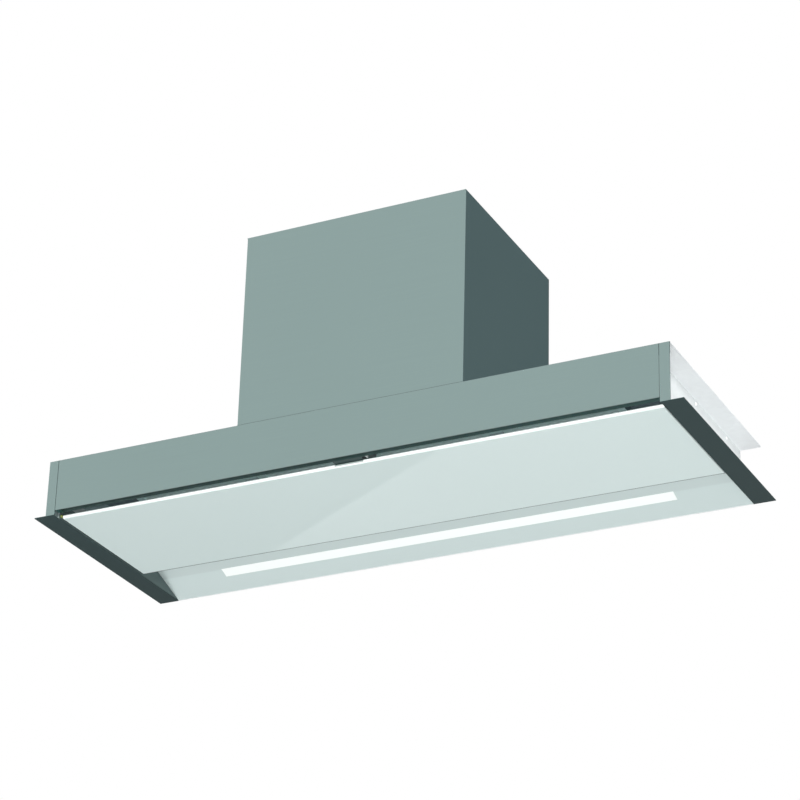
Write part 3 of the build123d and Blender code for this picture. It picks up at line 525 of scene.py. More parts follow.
@dataclass(frozen=True)
class Enamel(Finish):
    """Baked enamel with a fine orange-peel surface, with a painted shadow in front of the light
    window.

    Args:
        painted_shadow_colour: Colour of the painted shadow in front of the light window.
        painted_shadow_back: Y where the change to the plain colour ends.
        painted_shadow_fade: Length of that change.
    """

    # Painted shadow in front of the light window.
    painted_shadow_colour: Colour = (0.443, 0.519, 0.513)
    painted_shadow_back: float = 0.1180
    painted_shadow_fade: float = 0.0025

    def patterns(self) -> tuple[Pattern, ...]:
        """Orange peel and clouds."""
        return (
            Pattern(420.0, depth=0.08, relief=0.2 * MM, detail=1.0),
            Pattern(4.0, tone=0.03, rough=0.08),
        )

    def ground(self, work: NodeWork) -> Signal:
        """Base colour by the distance from the light window, with the painted shadow in front of
        it.
        """
        # Share of the painted shadow, which is whole in front of painted_shadow_back.
        front = (self.painted_shadow_back - work.axis("Y")) * (1.0 / self.painted_shadow_fade)
        return work.mix(front, self.colour, self.painted_shadow_colour)


@dataclass(frozen=True)
class LitOpal(Finish):
    """Opal cover that glows evenly.

    Args:
        glow: Strength of the glow.
    """

    glow: float = 1.0

    def patterns(self) -> tuple[Pattern, ...]:
        """Faint grain of the diffusing plastic."""
        return (Pattern(900.0, tone=0.01, rough=0.1, detail=1.0),)

    def sockets(self, work: NodeWork) -> dict[str, Value]:
        """Values of the shader's sockets, with the grain in the glow."""
        values = super().sockets(work)
        values["Emission Color"] = values["Base Color"]
        return {**values, "Base Color": (*self.colour, 1.0), "Emission Strength": self.glow}


@dataclass(frozen=True)
class SatinMetal(Finish):
    """Rolled, drawn or cast metal with an even fine texture.

    Args:
        depth: Strength of the texture's bump.
    """

    depth: float = 0.08

    def patterns(self) -> tuple[Pattern, ...]:
        """Fine texture and clouds."""
        texture = Pattern(
            Grain.EVEN.value, tone=0.12, rough=0.16, depth=self.depth, relief=0.2 * MM, detail=3.0,
            blend=0.6,
        )
        return texture, Pattern(12.0, tone=0.08)


@dataclass(frozen=True)
class FilterMetal(SatinMetal):
    """Aluminium of a filter frame, paler on its outer end bar as painted light and dark on the
    end's face as painted shade.
    """

    zones: tuple[Zone, ...] = (
        # Painted light on the outer end bar.
        Zone("outer end bar", (0.68, 0.95, 0.94), reach=(0.3345, FAR)),
        # Painted shade on the outer end face.
        Zone("painted shade on the outer end face", (0.10, 0.16, 0.18), reach=(0.3447, FAR)),
    )


@dataclass(frozen=True)
class MouldedPlastic(Finish):
    """Moulded plastic with a spark-eroded grain.

    Args:
        pit_scale: Scale of the grain's pits.
    """

    pit_scale: float = 1600.0

    def patterns(self) -> tuple[Pattern, ...]:
        """Fine pits and clouds."""
        return (
            Pattern(self.pit_scale, rough=0.15, depth=0.15, source=Source.PITS),
            Pattern(20.0, tone=0.12),
        )


@dataclass(frozen=True)
class PodPlastic(MouldedPlastic):
    """Plastic of the control pod, with painted light on its side next to the light guide."""

    zones: tuple[Zone, ...] = (
        # Painted light on the pod's lit side.
        Zone("painted light on the side with the light guide", (0.13, 0.17, 0.17), x=(0.0263, FAR)),
    )


@dataclass(frozen=True)
class CircuitBoard(Finish):
    """Solder mask over copper tracks.

    Args:
        track_colour: Colour of the tracks under the mask.
    """

    track_colour: Colour = (0.10, 0.32, 0.12)

    def patterns(self) -> tuple[Pattern, ...]:
        """The tracks."""
        return (Pattern(260.0, rough=0.1, depth=0.2, source=Source.TRACKS),)

    def ground(self, work: NodeWork) -> Signal:
        """Base colour, lighter over the tracks."""
        tracks = work.pattern(self.patterns()[0])
        return work.mix(tracks, self.colour, self.track_colour)


@dataclass(frozen=True)
class Finishes:
    """Every finish on the hood."""

    fascia: Finish = FasciaSteel("fascia steel", STEEL, 0.34, 1.0)
    # The rail's pale colour is painted light on its outer faces.
    rail: Finish = RailSteel(
        "side rail steel", (0.80, 0.815, 0.82), 0.34, 0.15, grain=Grain.ALONG_Y
    )
    housing: Finish = BrushedSteel("housing steel", STEEL, 0.34, 1.0)
    zinc: Finish = ZincSheet("zinc sheet", (0.78, 0.81, 0.81), 0.5, 0.15)
    top: Finish = TopSheet("top plate sheet", (0.865, 0.89, 0.90), 0.5, 0.15)
    inner_zinc: Finish = ZincSheet("inner zinc sheet", (0.45, 0.52, 0.51), 0.45, 0.5)
    baffle: Finish = ZincSheet("baffle zinc sheet", (0.28, 0.38, 0.42), 0.5, 0.4)
    glass: Finish = BackedGlass("white backed glass", (0.611, 0.713, 0.702), 0.012)
    enamel: Finish = Enamel("shelf enamel", (0.487, 0.571, 0.564), 0.35)
    opal: Finish = LitOpal("lit opal cover", (0.68, 0.715, 0.705), 0.4, glow=0.24)
    wall: Finish = WallSheet("side wall sheet", (0.745, 0.78, 0.78), 0.5, 0.15)
    aluminium: Finish = SatinMetal("satin aluminium", (0.58, 0.70, 0.69), 0.38, 0.3)
    latch: Finish = SatinMetal("latch casting", (0.23, 0.30, 0.31), 0.5, 0.1)
    filter_frame: Finish = FilterMetal("filter aluminium", (0.60, 0.85, 0.82), 0.38, 0.1)
    mesh: Finish = SatinMetal("expanded mesh", (0.60, 0.78, 0.77), 0.42, 0.1)
    casting: Finish = SatinMetal("motor casting", (0.45, 0.46, 0.47), 0.5, 1.0, depth=0.3)
    bright: Finish = SatinMetal("bright plated steel", (0.66, 0.67, 0.68), 0.24, 1.0, depth=0.03)
    # Paler than the other screws' plating, as a painted highlight on the wall screws.
    plate_with_painted_highlight: Finish = SatinMetal("plated steel with painted highlight", (0.90, 0.93, 0.93), 0.35, 0.1, depth=0.03)
    brass: Finish = SatinMetal("turned brass", (0.60, 0.66, 0.20), 0.25, 0.7, depth=0.04)
    black: Finish = MouldedPlastic("black plastic", (0.012, 0.015, 0.016), 0.6, gloss=0.2)
    pod: Finish = PodPlastic("pod plastic", (0.034, 0.058, 0.057), 0.45)
    grey: Finish = MouldedPlastic("grey plastic", (0.10, 0.11, 0.115), 0.5)
    blade: Finish = MouldedPlastic("impeller plastic", (0.03, 0.033, 0.036), 0.5)
    lens: Finish = MouldedPlastic("white lens", (0.50, 0.55, 0.54), 0.15, pit_scale=3000.0)
    # One foam tape in two tones: darker on the left seam as painted shade, paler on the right seam
    # as painted light.
    tape: Finish = MouldedPlastic("foam tape", (0.10, 0.13, 0.13), 0.8, pit_scale=700.0)
    tape_with_painted_light: Finish = MouldedPlastic("foam tape with painted light", (0.30, 0.37, 0.36), 0.8, pit_scale=700.0)
    # The joint seal's dark tone is painted shade in the gap between the fascia and the housing.
    seal: Finish = MouldedPlastic("joint seal", (0.14, 0.18, 0.175), 0.8, pit_scale=700.0)
    rubber: Finish = MouldedPlastic("damper rubber", (0.012, 0.012, 0.012), 0.8, pit_scale=900.0)
    board: Finish = CircuitBoard("circuit board", (0.01, 0.09, 0.04), 0.35)


FINISHES = Finishes()


def soften(width: float, *nodes: str) -> None:
    """Rounds the sharp edges of CAD nodes as folding, moulding or deburring leaves them.

    Args:
        width: Width of the rounding.
        nodes: Names of the nodes.
    """
    for name in nodes:
        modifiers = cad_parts[name].modifiers
        weld = modifiers.new("weld", "WELD")
        weld.merge_threshold = WELD_DISTANCE
        flat = modifiers.new("flat", "DECIMATE")
        flat.decimate_type = "DISSOLVE"
        flat.angle_limit = FLAT_ANGLE
        edge = modifiers.new("edge", "BEVEL")
        edge.width = width
        edge.segments = BEVEL_SEGMENTS
        edge.limit_method = "ANGLE"
        edge.angle_limit = SHARP_ANGLE


def add_piece(
    name: str, shape: bmesh.types.BMesh, finish: Finish, body: str, smooth: bool = False
) -> bpy.types.Object:
    """Turns a finished shape into a piece that rides on a body.

    Args:
        name: Name of the piece.
        shape: Its shape, in place, which is freed.
        finish: Its finish.
        body: The CAD body that it moves with.
        smooth: True to shade its curved faces smooth.

    Returns:
        The piece.
    """
    mesh = bpy.data.meshes.new(name)
    for face in shape.faces:
        face.smooth = smooth
    shape.to_mesh(mesh)
    shape.free()
    mesh.materials.append(finish.material())
    piece = bpy.data.objects.new(name, mesh)
    bpy.context.scene.collection.objects.link(piece)
    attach(piece, body)
    log.info("%s: %d faces on %s", name, len(mesh.polygons), body)
    return piece


def blocks(
    middles: Iterable[Vector], size: Union[Place, Vector], edge: float
) -> bmesh.types.BMesh:
    """Makes equal blocks with rounded edges.

    Args:
        middles: Middle of each block.
        size: Size of a block.
        edge: Rounding of its edges.

    Returns:
        The blocks' shape.
    """
    shape = bmesh.new()
    for middle in middles:
        made = bmesh.ops.create_cube(shape, size=1.0)["verts"]
        place = Matrix.Translation(middle) @ Matrix.Diagonal((*size, 1.0))
        bmesh.ops.transform(shape, matrix=place, verts=made)
    bmesh.ops.bevel(
        shape, geom=shape.edges[:], offset=edge, segments=BEVEL_SEGMENTS, affect="EDGES",
        profile=0.5, material=-1,
    )
    return shape


def absorb(whole: bmesh.types.BMesh, part: bmesh.types.BMesh) -> None:
    """Adds a shape to another.

    Args:
        whole: The shape that grows.
        part: The shape that is added, which is freed.
    """
    mesh = bpy.data.meshes.new("part")
    part.to_mesh(mesh)
    part.free()
    whole.from_mesh(mesh)
    bpy.data.meshes.remove(mesh)


@dataclass
class Assembly:
    """A sub-assembly of the hood.

    Args:
        coats: Each finish, followed by the CAD nodes that have it.
    """

    coats: tuple[tuple, ...] = ()

    def dress(self) -> None:
        """Gives the CAD nodes their finishes."""
        for finish, *nodes in self.coats:
            for name in nodes:
                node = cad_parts[name]
                if not node.material_slots:
                    node.data.materials.append(None)
                for place in node.material_slots:
                    place.material = finish.material()
                log.info("%s: %s", name, finish.name)

    def build(self) -> None:
        """Adds the finer pieces, of which a plain sub-assembly has none."""


@dataclass
class Canopy(Assembly):
    """Folded sheets of the canopy, with tape and a seal in the seams round the fascia, whose dark
    tones are painted shade in the seams; the tape is darker on the left and paler on the right as
    painted shade and light.

    Args:
        sheet: Thickness of the sheets.
        fold: Height of the top plate's front fold, with its clearance.
        lip_inset: Distance of the lip's inner face from the flange's outer edge.
        tape_width: Width of the tape.
        tape_depth: Thickness of the tape.
        seal_set: Distance of the seal's faces from the fascia's.
        strip_edge: Rounding of the strips' edges.
        rail_edge: Rounding of the rails' folds.
        plate_edge: Rounding of the fascia's and the top plate's edges.
    """

    coats: tuple[tuple, ...] = (
        (FINISHES.fascia, "front_fascia"),
        (FINISHES.rail, "side_rail_left", "side_rail_right"),
        (FINISHES.top, "top_plate"),
        (FINISHES.wall, "side_wall_left", "side_wall_right"),
        (FINISHES.zinc, "back_wall"),
        (FINISHES.baffle, "baffle_plate"),
        (FINISHES.inner_zinc, "joining_angles", "filter_ledge"),
        (FINISHES.brass, "locating_studs"),
    )
    sheet: float = 1.0 * MM
    fold: float = 16.3 * MM
    lip_inset: float = 29.4 * MM
    tape_width: float = 3.2 * MM
    tape_depth: float = 0.9 * MM
    seal_set: float = 0.15 * MM
    strip_edge: float = 0.1 * MM
    rail_edge: float = 0.35 * MM
    plate_edge: float = 0.12 * MM

    def build(self) -> None:
        """Rounds the folds, and adds the tape behind the fascia's seams and the seal above it."""
        soften(self.rail_edge, "side_rail_left", "side_rail_right")
        soften(self.plate_edge, "front_fascia", "top_plate")
        fascia_low, fascia_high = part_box("front_fascia")
        _, fold_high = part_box("top_plate")
        housing_low, housing_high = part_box("housing_wrap")
        front = fascia_low.y + self.sheet
        # The left seam's tape is darker as painted shade and the right seam's paler as painted
        # light.
        for side, finish in enumerate((FINISHES.tape, FINISHES.tape_with_painted_light)):
            name, inward = SIDES[side], 1 - 2 * side
            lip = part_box(f"side_rail_{name}")[side].x + inward * self.lip_inset
            inner = lip + inward * self.tape_width
            self._strip(
                f"seam_tape_{name}",
                Vector((min(lip, inner), front, fascia_low.z + 2 * self.sheet)),
                Vector((max(lip, inner), front + self.tape_depth, fold_high.z - self.fold)),
                finish,
            )
        # The seal's dark tone stands in for the gap's shade.
        self._strip(
            "joint_seal",
            Vector((housing_low.x, fascia_low.y + self.seal_set, fascia_high.z)),
            Vector((housing_high.x, front - self.seal_set, housing_low.z)),
            FINISHES.seal,
        )

    def _strip(self, name: str, low: Vector, high: Vector, finish: Finish) -> None:
        """Adds a soft strip with rounded edges.

        Args:
            name: Name of the strip.
            low: Its lowest corner.
            high: Its highest corner.
            finish: Its finish.
        """
        strip = blocks([(low + high) / 2], high - low, self.strip_edge)
        add_piece(name, strip, finish, "hood")


@dataclass
class GlassPanel(Assembly):
    """The hinged panel, its tray, hinges and catches."""

    coats: tuple[tuple, ...] = (
        (FINISHES.glass, "glass_panel"),
        (FINISHES.zinc, "panel_tray"),
        (FINISHES.bright, "hinge_pins"),
        (FINISHES.inner_zinc, "hinge_brackets", "hinge_arms", "strike_plates"),
        (FINISHES.black, "panel_magnets"),
    )


@dataclass
class LightShelf(Assembly):
    """The sloping shelf and its light."""

    coats: tuple[tuple, ...] = (
        (FINISHES.enamel, "light_shelf"),
        (FINISHES.opal, "light_cover"),
        (FINISHES.aluminium, "light_profile", "light_driver"),
        (FINISHES.board, "light_board"),
    )


@dataclass
class GreaseFilters(Assembly):
    """Two grease filters with layers of expanded mesh.

    Args:
        cell: Length and width of a diamond of the mesh.
        strand: Width of its strands.
        sheet: Thickness of a layer.
        layers: Heights of the layers above the mesh pack's underside.
        shifts: Shift of each layer along the filter, in cells.
        latch_reach: Half width of the gap in the mesh round a latch.
        latch_room: Depth of that gap behind the latch.
        grips: Number of ribs under a latch's knob.
        grip_size: Width, depth and height of a rib.
        grip_start: Distance of the ribs' field from the latch's back.
        grip_field: Depth of that field.
        grip_sink: Rise of a rib's middle from the knob's underside, in heights of a rib.
        grip_edge: Rounding of the ribs' edges.
    """

    coats: tuple[tuple, ...] = (
        (FINISHES.filter_frame, "filter_frame_left", "filter_frame_right"),
        (FINISHES.latch, "filter_latch_left", "filter_latch_right"),
        (FINISHES.mesh, "filter_mesh_left", "filter_mesh_right"),
    )
    cell: Pair = (12 * MM, 6 * MM)
    strand: float = 2.2 * MM
    sheet: float = 0.5 * MM
    layers: tuple[float, ...] = (0.6 * MM, 1.5 * MM, 2.4 * MM, 3.5 * MM, 4.7 * MM, 5.9 * MM)
    shifts: tuple[float, ...] = (0.0, 0.31, 0.12, 0.43, 0.2, 0.37)
    latch_reach: float = 20.3 * MM
    latch_room: float = 9 * MM
    grips: int = 3
    grip_size: Place = (14 * MM, 1.2 * MM, 0.5 * MM)
    grip_start: float = 8 * MM
    grip_field: float = 10 * MM
    grip_sink: float = 0.4
    grip_edge: float = 0.2 * MM

    def _layer(self, low: Vector, high: Vector, height: float, shift: float) -> bmesh.types.BMesh:
        """Makes one layer of expanded mesh.

        Args:
            low: Lowest corner of the mesh pack.
            high: Highest corner of the mesh pack.
            height: Height of the layer above the pack's underside.
            shift: Shift of the diamonds along the filter.

        Returns:
            The layer's shape.
        """
        length, width = self.cell
        middle = (low + high) / 2
        count = math.ceil((high.x - low.x) / length + (high.y - low.y) / width) + 2
        layer = bmesh.new()
        bmesh.ops.create_grid(layer, x_segments=count, y_segments=count, size=count / 2)
        turn = Matrix.Rotation(math.radians(45), 4, "Z")
        spread = Matrix.Diagonal((length * math.sqrt(0.5), width * math.sqrt(0.5), 1.0, 1.0))
        place = Matrix.Translation((middle.x + shift, middle.y, low.z + height))
        bmesh.ops.transform(layer, matrix=place @ spread @ turn, verts=layer.verts)
        cells = layer.faces[:]
        bmesh.ops.inset_individual(
            layer, faces=cells, thickness=self.strand / 2, use_even_offset=True
        )
        bmesh.ops.delete(layer, geom=cells, context="FACES_ONLY")
        for corner, normal in (
            (low, (-1, 0, 0)), (high, (1, 0, 0)), (low, (0, -1, 0)), (high, (0, 1, 0)),
        ):
            bmesh.ops.bisect_plane(
                layer, geom=layer.verts[:] + layer.edges[:] + layer.faces[:], plane_co=corner,
                plane_no=normal, clear_outer=True,
            )
        bmesh.ops.solidify(layer, geom=layer.faces[:], thickness=self.sheet)
        return layer

    def build(self) -> None:
        """Builds the mesh packs and the latch grips."""
        for side in SIDES:
            low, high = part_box(f"filter_mesh_{side}")
            pack = bmesh.new()
            for height, shift in zip(self.layers, self.shifts):
                absorb(pack, self._layer(low, high, height, shift * self.cell[0]))
            self._clear_latch(pack, side)
            piece = add_piece(f"mesh_pack_{side}", pack, FINISHES.mesh, "hood")
            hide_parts(f"filter_mesh_{side}")
            self._grip(side)

    def _clear_latch(self, pack: bmesh.types.BMesh, side: str) -> None:
        """Takes the strands away where the latch goes through."""
        low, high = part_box(f"filter_latch_{side}")
        centre, front = (low.x + high.x) / 2, high.y + self.latch_room
        inside = [
            face for face in pack.faces
            if abs(face.calc_center_median().x - centre) < self.latch_reach
            and face.calc_center_median().y < front
        ]
        bmesh.ops.delete(pack, geom=inside, context="FACES")

    def _grip(self, side: str) -> None:
        """Adds the ribs under a latch's knob."""
        low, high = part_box(f"filter_latch_{side}")
        x, z = (low.x + high.x) / 2, low.z + self.grip_size[2] * self.grip_sink
        start, step = high.y - self.grip_start, self.grip_field / self.grips
        middles = [Vector((x, start + step * (rib + 0.5), z)) for rib in range(self.grips)]
        grip = blocks(middles, self.grip_size, self.grip_edge)
        add_piece(f"latch_grip_{side}", grip, FINISHES.latch, f"{side}_latch")


@dataclass
class ControlPod(Assembly):
    """The switch pod behind the fascia's lower edge."""

    coats: tuple[tuple, ...] = (
        (FINISHES.pod, "control_pod"),
        (FINISHES.black, "control_button"),
        (FINISHES.board, "control_board"),
        (FINISHES.lens, "indicator_lens"),
    )


@dataclass
class MotorHousing(Assembly):
    """The plain steel box on top, and what is fastened inside it."""

    coats: tuple[tuple, ...] = (
        (FINISHES.housing, "housing_wrap", "housing_back", "housing_lid"),
        (FINISHES.grey, "electronics_box", "terminal_block", "cable_gland"),
        (FINISHES.casting, "capacitor"),
    )


@dataclass
class DuctOutlet(Assembly):
    """The collar with its flaps, and the adapter below it."""

    coats: tuple[tuple, ...] = (
        (FINISHES.zinc, "duct_collar", "flap_front", "flap_rear"),
        (FINISHES.bright, "flap_pin"),
        (FINISHES.grey, "outlet_adapter"),
    )


@dataclass
class Blower(Assembly):
    """The scroll, impeller and motor."""

    coats: tuple[tuple, ...] = (
        (FINISHES.inner_zinc, "scroll_wrap", "scroll_side_left", "scroll_side_right"),
        (FINISHES.inner_zinc, "inlet_rings", "blower_rails", "motor_bracket"),
        (FINISHES.blade, "impeller"),
        (FINISHES.casting, "blower_motor"),
        (FINISHES.bright, "motor_shaft", "motor_bearings"),
        (FINISHES.rubber, "motor_dampers"),
    )


@dataclass(frozen=True)
class ScrewKind:
    """A set of equal screws.

    Args:
        node: The CAD node that holds the set.
        drive: Recess in their heads.
        finish: Finish of the screws.
    """

    node: str
    drive: Drive
    finish: Finish = FINISHES.bright


@dataclass
class Fasteners(Assembly):
    """Screws with domed heads, a recess and a rolled thread.

    Args:
        kinds: The sets of screws.
        head_radius: Radius of a head.
        head_height: Height of a head.
        recess_depth: Depth of the recess.
        recess_taper: Size of the recess's floor, in sizes of its outline.
        dome: Outline of a head, in head radii and heights.
        shank_radius: Outer radius of the thread.
        root: Radius of the thread's root, in radii of the shank.
        tip: Radius of the shank's end, in radii of the shank.
        pitch: Pitch of the thread.
        steps: Steps round a screw.
        tolerance: Slack of a measure of the plain screws.
    """

    kinds: tuple[ScrewKind, ...] = (
        # The wall screws' paler plating is a painted highlight.
        ScrewKind("wall_screws", Drive.CROSS, FINISHES.plate_with_painted_highlight),
        ScrewKind("housing_screws", Drive.CROSS),
        ScrewKind("collar_screws", Drive.CROSS),
        ScrewKind("motor_screws", Drive.HEX),
    )
    head_radius: float = 2.5 * MM
    head_height: float = 1.6 * MM
    recess_depth: float = 0.9 * MM
    recess_taper: float = 0.7
    dome: tuple[Pair, ...] = (
        (0.62, 1.0), (0.80, 0.9), (0.94, 0.62), (1.0, 0.3), (1.0, 0.04), (0.98, 0.0),
    )
    shank_radius: float = 2.0 * MM
    root: float = 0.84
    tip: float = 0.7
    pitch: float = 0.7 * MM
    steps: int = 24
    tolerance: float = 0.05 * MM

    def __post_init__(self) -> None:
        """Takes the finishes from the sets of screws."""
        self.coats = tuple((kind.finish, kind.node) for kind in self.kinds)

    def build(self) -> None:
        """Replaces each set of screws."""
        for kind in self.kinds:
            whole = bmesh.new()
            for seat, outward, length in self._places(kind.node):
                screw = self._screw(kind.drive, length)
                turn = outward.to_track_quat("Z", "Y").to_matrix().to_4x4()
                place = Matrix.Translation(seat) @ turn
                bmesh.ops.transform(screw, matrix=place, verts=screw.verts)
                absorb(whole, screw)
            piece = add_piece(f"{kind.node}_cut", whole, kind.finish, "hood")
            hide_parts(kind.node)

    def _places(self, node: str) -> Iterable[tuple[Vector, Vector, float]]:
        """Finds the seat, outward direction and shank length of each screw of a node."""
        shape = bmesh.new()
        shape.from_mesh(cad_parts[node].data)
        bmesh.ops.remove_doubles(shape, verts=shape.verts, dist=WELD_DISTANCE)
        left = set(shape.verts)
        while left:
            found, reached = set(), [next(iter(left))]
            while reached:
                vert = reached.pop()
                if vert not in found:
                    found.add(vert)
                    reached += [edge.other_vert(vert) for edge in vert.link_edges]
            left -= found
            yield self._place([vert.co.copy() for vert in found])
        shape.free()

    def _place(self, points: list[Vector]) -> tuple[Vector, Vector, float]:
        """Finds the seat, outward direction and shank length of one screw from its points."""
        low = Vector([min(point[axis] for point in points) for axis in range(3)])
        high = Vector([max(point[axis] for point in points) for axis in range(3)])
        middle = (low + high) / 2
        best = (0.0, 0, 0.0)
        for axis in range(3):
            radii = []
            for end in (low[axis], high[axis]):
                rim = [p - middle for p in points if abs(p[axis] - end) < self.tolerance]
                for spoke in rim:
                    spoke[axis] = 0.0
                radii.append(max(spoke.length for spoke in rim))
            best = max(best, (abs(radii[1] - radii[0]), axis, radii[1] - radii[0]))
        _, axis, lean = best
        outward = Vector((0.0, 0.0, 0.0))
        outward[axis] = math.copysign(1.0, lean)
        length = high[axis] - low[axis]
        seat = middle + outward * (length / 2 - self.head_height)
        return seat, outward, length - self.head_height

    def _screw(self, drive: Drive, length: float) -> bmesh.types.BMesh:
        """Makes a screw with its seat at the origin and its head up.

        Args:
            drive: Recess in the head.
            length: Length of the shank.

        Returns:
            The screw's shape.
        """
        head, top = self.head_radius, self.head_height - self.tolerance
        profile = [(radius * head, height * top) for radius, height in self.dome]
        profile.append((self.shank_radius, 0.0))
        turns = int((length - self.pitch) / self.pitch)
        for turn in range(turns):
            depth = -self.pitch * (turn + 0.5)
            profile.append((self.root * self.shank_radius, depth))
            profile.append((self.shank_radius, depth - 0.5 * self.pitch))
        profile += [(self.tip * self.shank_radius, -length), (0.0, -length)]
        screw = bmesh.new()
        verts = [screw.verts.new((radius, 0.0, z)) for radius, z in profile]
        edges = [screw.edges.new(pair) for pair in zip(verts, verts[1:])]
        bmesh.ops.spin(
            screw, geom=verts + edges, cent=(0, 0, 0), axis=(0, 0, 1), angle=math.tau,
            steps=self.steps, use_merge=True,
        )
        bmesh.ops.remove_doubles(screw, verts=screw.verts, dist=WELD_DISTANCE)
        rim = [
            edge for edge in screw.edges
            if edge.is_boundary and min(vert.co.z for vert in edge.verts) > top - self.tolerance
        ]
        outline = [screw.verts.new((x * head, y * head, top)) for x, y in drive.value]
        recess = [screw.edges.new(pair) for pair in zip(outline, outline[1:] + outline[:1])]
        bmesh.ops.triangle_fill(screw, use_beauty=True, edges=rim + recess)
        sunk = bmesh.ops.extrude_edge_only(screw, edges=recess)["geom"]
        floor = [item for item in sunk if isinstance(item, bmesh.types.BMVert)]
        for vert in floor:
            vert.co.x *= self.recess_taper
            vert.co.y *= self.recess_taper
            vert.co.z -= self.recess_depth
        ring = [edge for edge in sunk if isinstance(edge, bmesh.types.BMEdge)]
        bmesh.ops.triangle_fill(screw, use_beauty=True, edges=[e for e in ring if e.is_boundary])
        bmesh.ops.recalc_face_normals(screw, faces=screw.faces)
        return screw


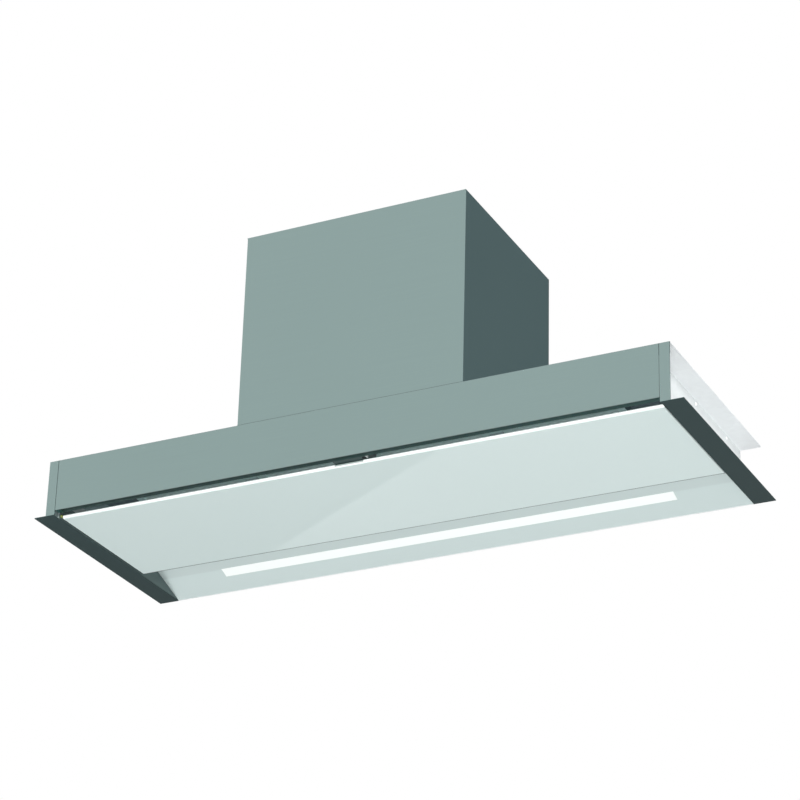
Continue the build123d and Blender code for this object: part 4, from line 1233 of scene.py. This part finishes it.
@dataclass
class Studio:
    """Floor, backdrop, lamps and camera.

    Args:
        focal_length: Lens of the camera.
        film: Width of its film.
        clip: Nearest and farthest distance that it sees.
        eye: Place of the camera.
        right: Direction to the right of the picture.
        down: Direction to the foot of the picture.
        ahead: Direction of view.
        floor_height: Height of the floor.
        floor_size: Width of the floor.
        floor_tone: Tone of the floor.
        fill: Strength of the even light.
        target: Place that the lamps shine at.
        lamps: Name, place, width and power in watts of each lamp.
        cards: Name, corners and light of each card.
    """

    focal_length: float = 125.669
    film: float = 36.0
    clip: Pair = (0.05, 60.0)
    eye: Place = (1.48383, -2.91443, -1.44186)
    right: Place = (0.895960, 0.443411, 0.025333)
    down: Place = (-0.174414, 0.403734, -0.898097)
    ahead: Place = (-0.408454, 0.800241, 0.439067)
    floor_height: float = -1.7
    floor_size: float = 14.0
    floor_tone: float = 0.86
    fill: float = 0.3
    target: Place = (0.0, 0.0, 0.1)
    lamps: tuple[tuple[str, Place, float, float], ...] = (
        ("front", (1.505, -2.955, -1.464), 0.15, 76.0),
        ("left", (-1.0, -1.9, -1.6), 0.8, 52.0),
        ("key", (3.5, -4.0, 1.8), 2.5, 60.0),
        ("side", (4.5, -0.6, 0.8), 2.5, 112.0),
    )
    cards: tuple[tuple[str, tuple[Place, ...], Colour], ...] = (
        (
            "wall card",
            ((2.82, 1.35, -0.35), (0.10, 2.74, -0.35), (-0.30, 1.95, 2.43), (2.42, 0.56, 2.43)),
            (0.203, 0.252, 0.27),
        ),
        (
            "floor card",
            (
                (-0.405, 2.435, -1.65), (-2.898, 3.887, -1.65), (-3.653, 2.591, -1.65),
                (-1.160, 1.139, -1.65),
            ),
            (0.02, 0.02, 0.02),
        ),
    )

    def build(self) -> None:
        """Builds the whole studio."""
        self._world()
        self._floor()
        self._cards()
        self._lamps()
        self._camera()
        bpy.context.scene.view_settings.view_transform = "Standard"

    def _world(self) -> None:
        """White backdrop for what is seen or mirrored, and an even fill for the rest."""
        world = bpy.data.worlds.new("studio")
        bpy.context.scene.world = world
        work = NodeWork(world)
        seen = self._seen(work)
        strength = self.fill + seen * (1.0 - self.fill)
        light = work.node(
            "ShaderNodeBackground", {}, {"Color": (1.0, 1.0, 1.0, 1.0), "Strength": strength}
        )
        work.node("ShaderNodeOutputWorld", {}, {"Surface": light})

    @staticmethod
    def _seen(work: NodeWork) -> Signal:
        """1 for rays from the camera, from gloss and through glass."""
        path = [
            work.node("ShaderNodeLightPath", {}, {}, name)
            for name in ("Is Camera Ray", "Is Glossy Ray", "Is Transmission Ray")
        ]
        return path[0].larger(path[1]).larger(path[2])

    @staticmethod
    def _stand(name: str, shape: bmesh.types.BMesh, made: bpy.types.Material) -> bpy.types.Object:
        """Adds an object of the studio.

        Args:
            name: Name of the object.
            shape: Its shape, in place, which is freed.
            made: Its material.

        Returns:
            The object.
        """
        mesh = bpy.data.meshes.new(name)
        shape.to_mesh(mesh)
        shape.free()
        mesh.materials.append(made)
        stood = bpy.data.objects.new(name, mesh)
        bpy.context.scene.collection.objects.link(stood)
        return stood

    def _floor(self) -> None:
        """A plain pale floor that is clear from below."""
        shape = bmesh.new()
        bmesh.ops.create_grid(shape, x_segments=1, y_segments=1, size=self.floor_size / 2)
        bmesh.ops.translate(shape, vec=(0.0, 0.0, self.floor_height), verts=shape.verts)
        made = bpy.data.materials.new("pale floor")
        work = NodeWork(made)
        tone = (*(self.floor_tone,) * 3, 1.0)
        paint = work.node("ShaderNodeBsdfDiffuse", {}, {"Color": tone, "Roughness": 0.5})
        clear = work.node("ShaderNodeBsdfTransparent", {}, {"Color": (1.0, 1.0, 1.0, 1.0)})
        behind = work.node("ShaderNodeNewGeometry", {}, {}, "Backfacing")
        surface = work.node("ShaderNodeMixShader", {}, {0: behind, 1: paint, 2: clear})
        work.node("ShaderNodeOutputMaterial", {}, {"Surface": surface})
        self._stand("floor", shape, made)

    def _cards(self) -> None:
        """Dark cards that only the metal and the glass mirror."""
        for name, corners, colour in self.cards:
            shape = bmesh.new()
            shape.faces.new([shape.verts.new(corner) for corner in corners])
            made = bpy.data.materials.new(name)
            work = NodeWork(made)
            shine = {"Color": (*colour, 1.0), "Strength": 1.0}
            light = work.node("ShaderNodeEmission", {}, shine)
            work.node("ShaderNodeOutputMaterial", {}, {"Surface": light})
            stood = self._stand(name, shape, made)
            stood.visible_camera = False
            stood.visible_diffuse = False
            stood.visible_transmission = False
            stood.visible_shadow = False

    def _lamps(self) -> None:
        """Large soft lamps."""
        for name, place, width, power in self.lamps:
            data = bpy.data.lights.new(f"{name} lamp", "AREA")
            data.shape = "SQUARE"
            data.size, data.energy = width, power
            hung = bpy.data.objects.new(f"{name} lamp", data)
            hung.visible_glossy = False
            aim = Vector(self.target) - Vector(place)
            turn = aim.to_track_quat("-Z", "Y").to_matrix().to_4x4()
            hung.matrix_world = Matrix.Translation(place) @ turn
            bpy.context.scene.collection.objects.link(hung)

    def _camera(self) -> None:
        """Camera at the photograph's place."""
        data = bpy.data.cameras.new("camera")
        data.sensor_width = self.film
        data.lens = self.focal_length
        data.clip_start, data.clip_end = self.clip
        camera = bpy.data.objects.new("camera", data)
        turn = Matrix((self.right, -Vector(self.down), -Vector(self.ahead))).transposed()
        camera.matrix_world = Matrix.Translation(self.eye) @ turn.to_4x4()
        bpy.context.scene.collection.objects.link(camera)
        bpy.context.scene.camera = camera


def main() -> None:
    """Builds and dresses every sub-assembly in order."""
    logging.basicConfig(level=logging.INFO, format="%(name)s: %(message)s")
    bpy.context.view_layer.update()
    parts = (
        Canopy(), GlassPanel(), LightShelf(), GreaseFilters(), ControlPod(), MotorHousing(),
        DuctOutlet(), Blower(), Fasteners(),
    )
    for part in parts:
        part.dress()
        log.info("%s is dressed", type(part).__name__)
    for part in parts:
        part.build()
    Studio().build()


if __name__ == "__main__":
    main()
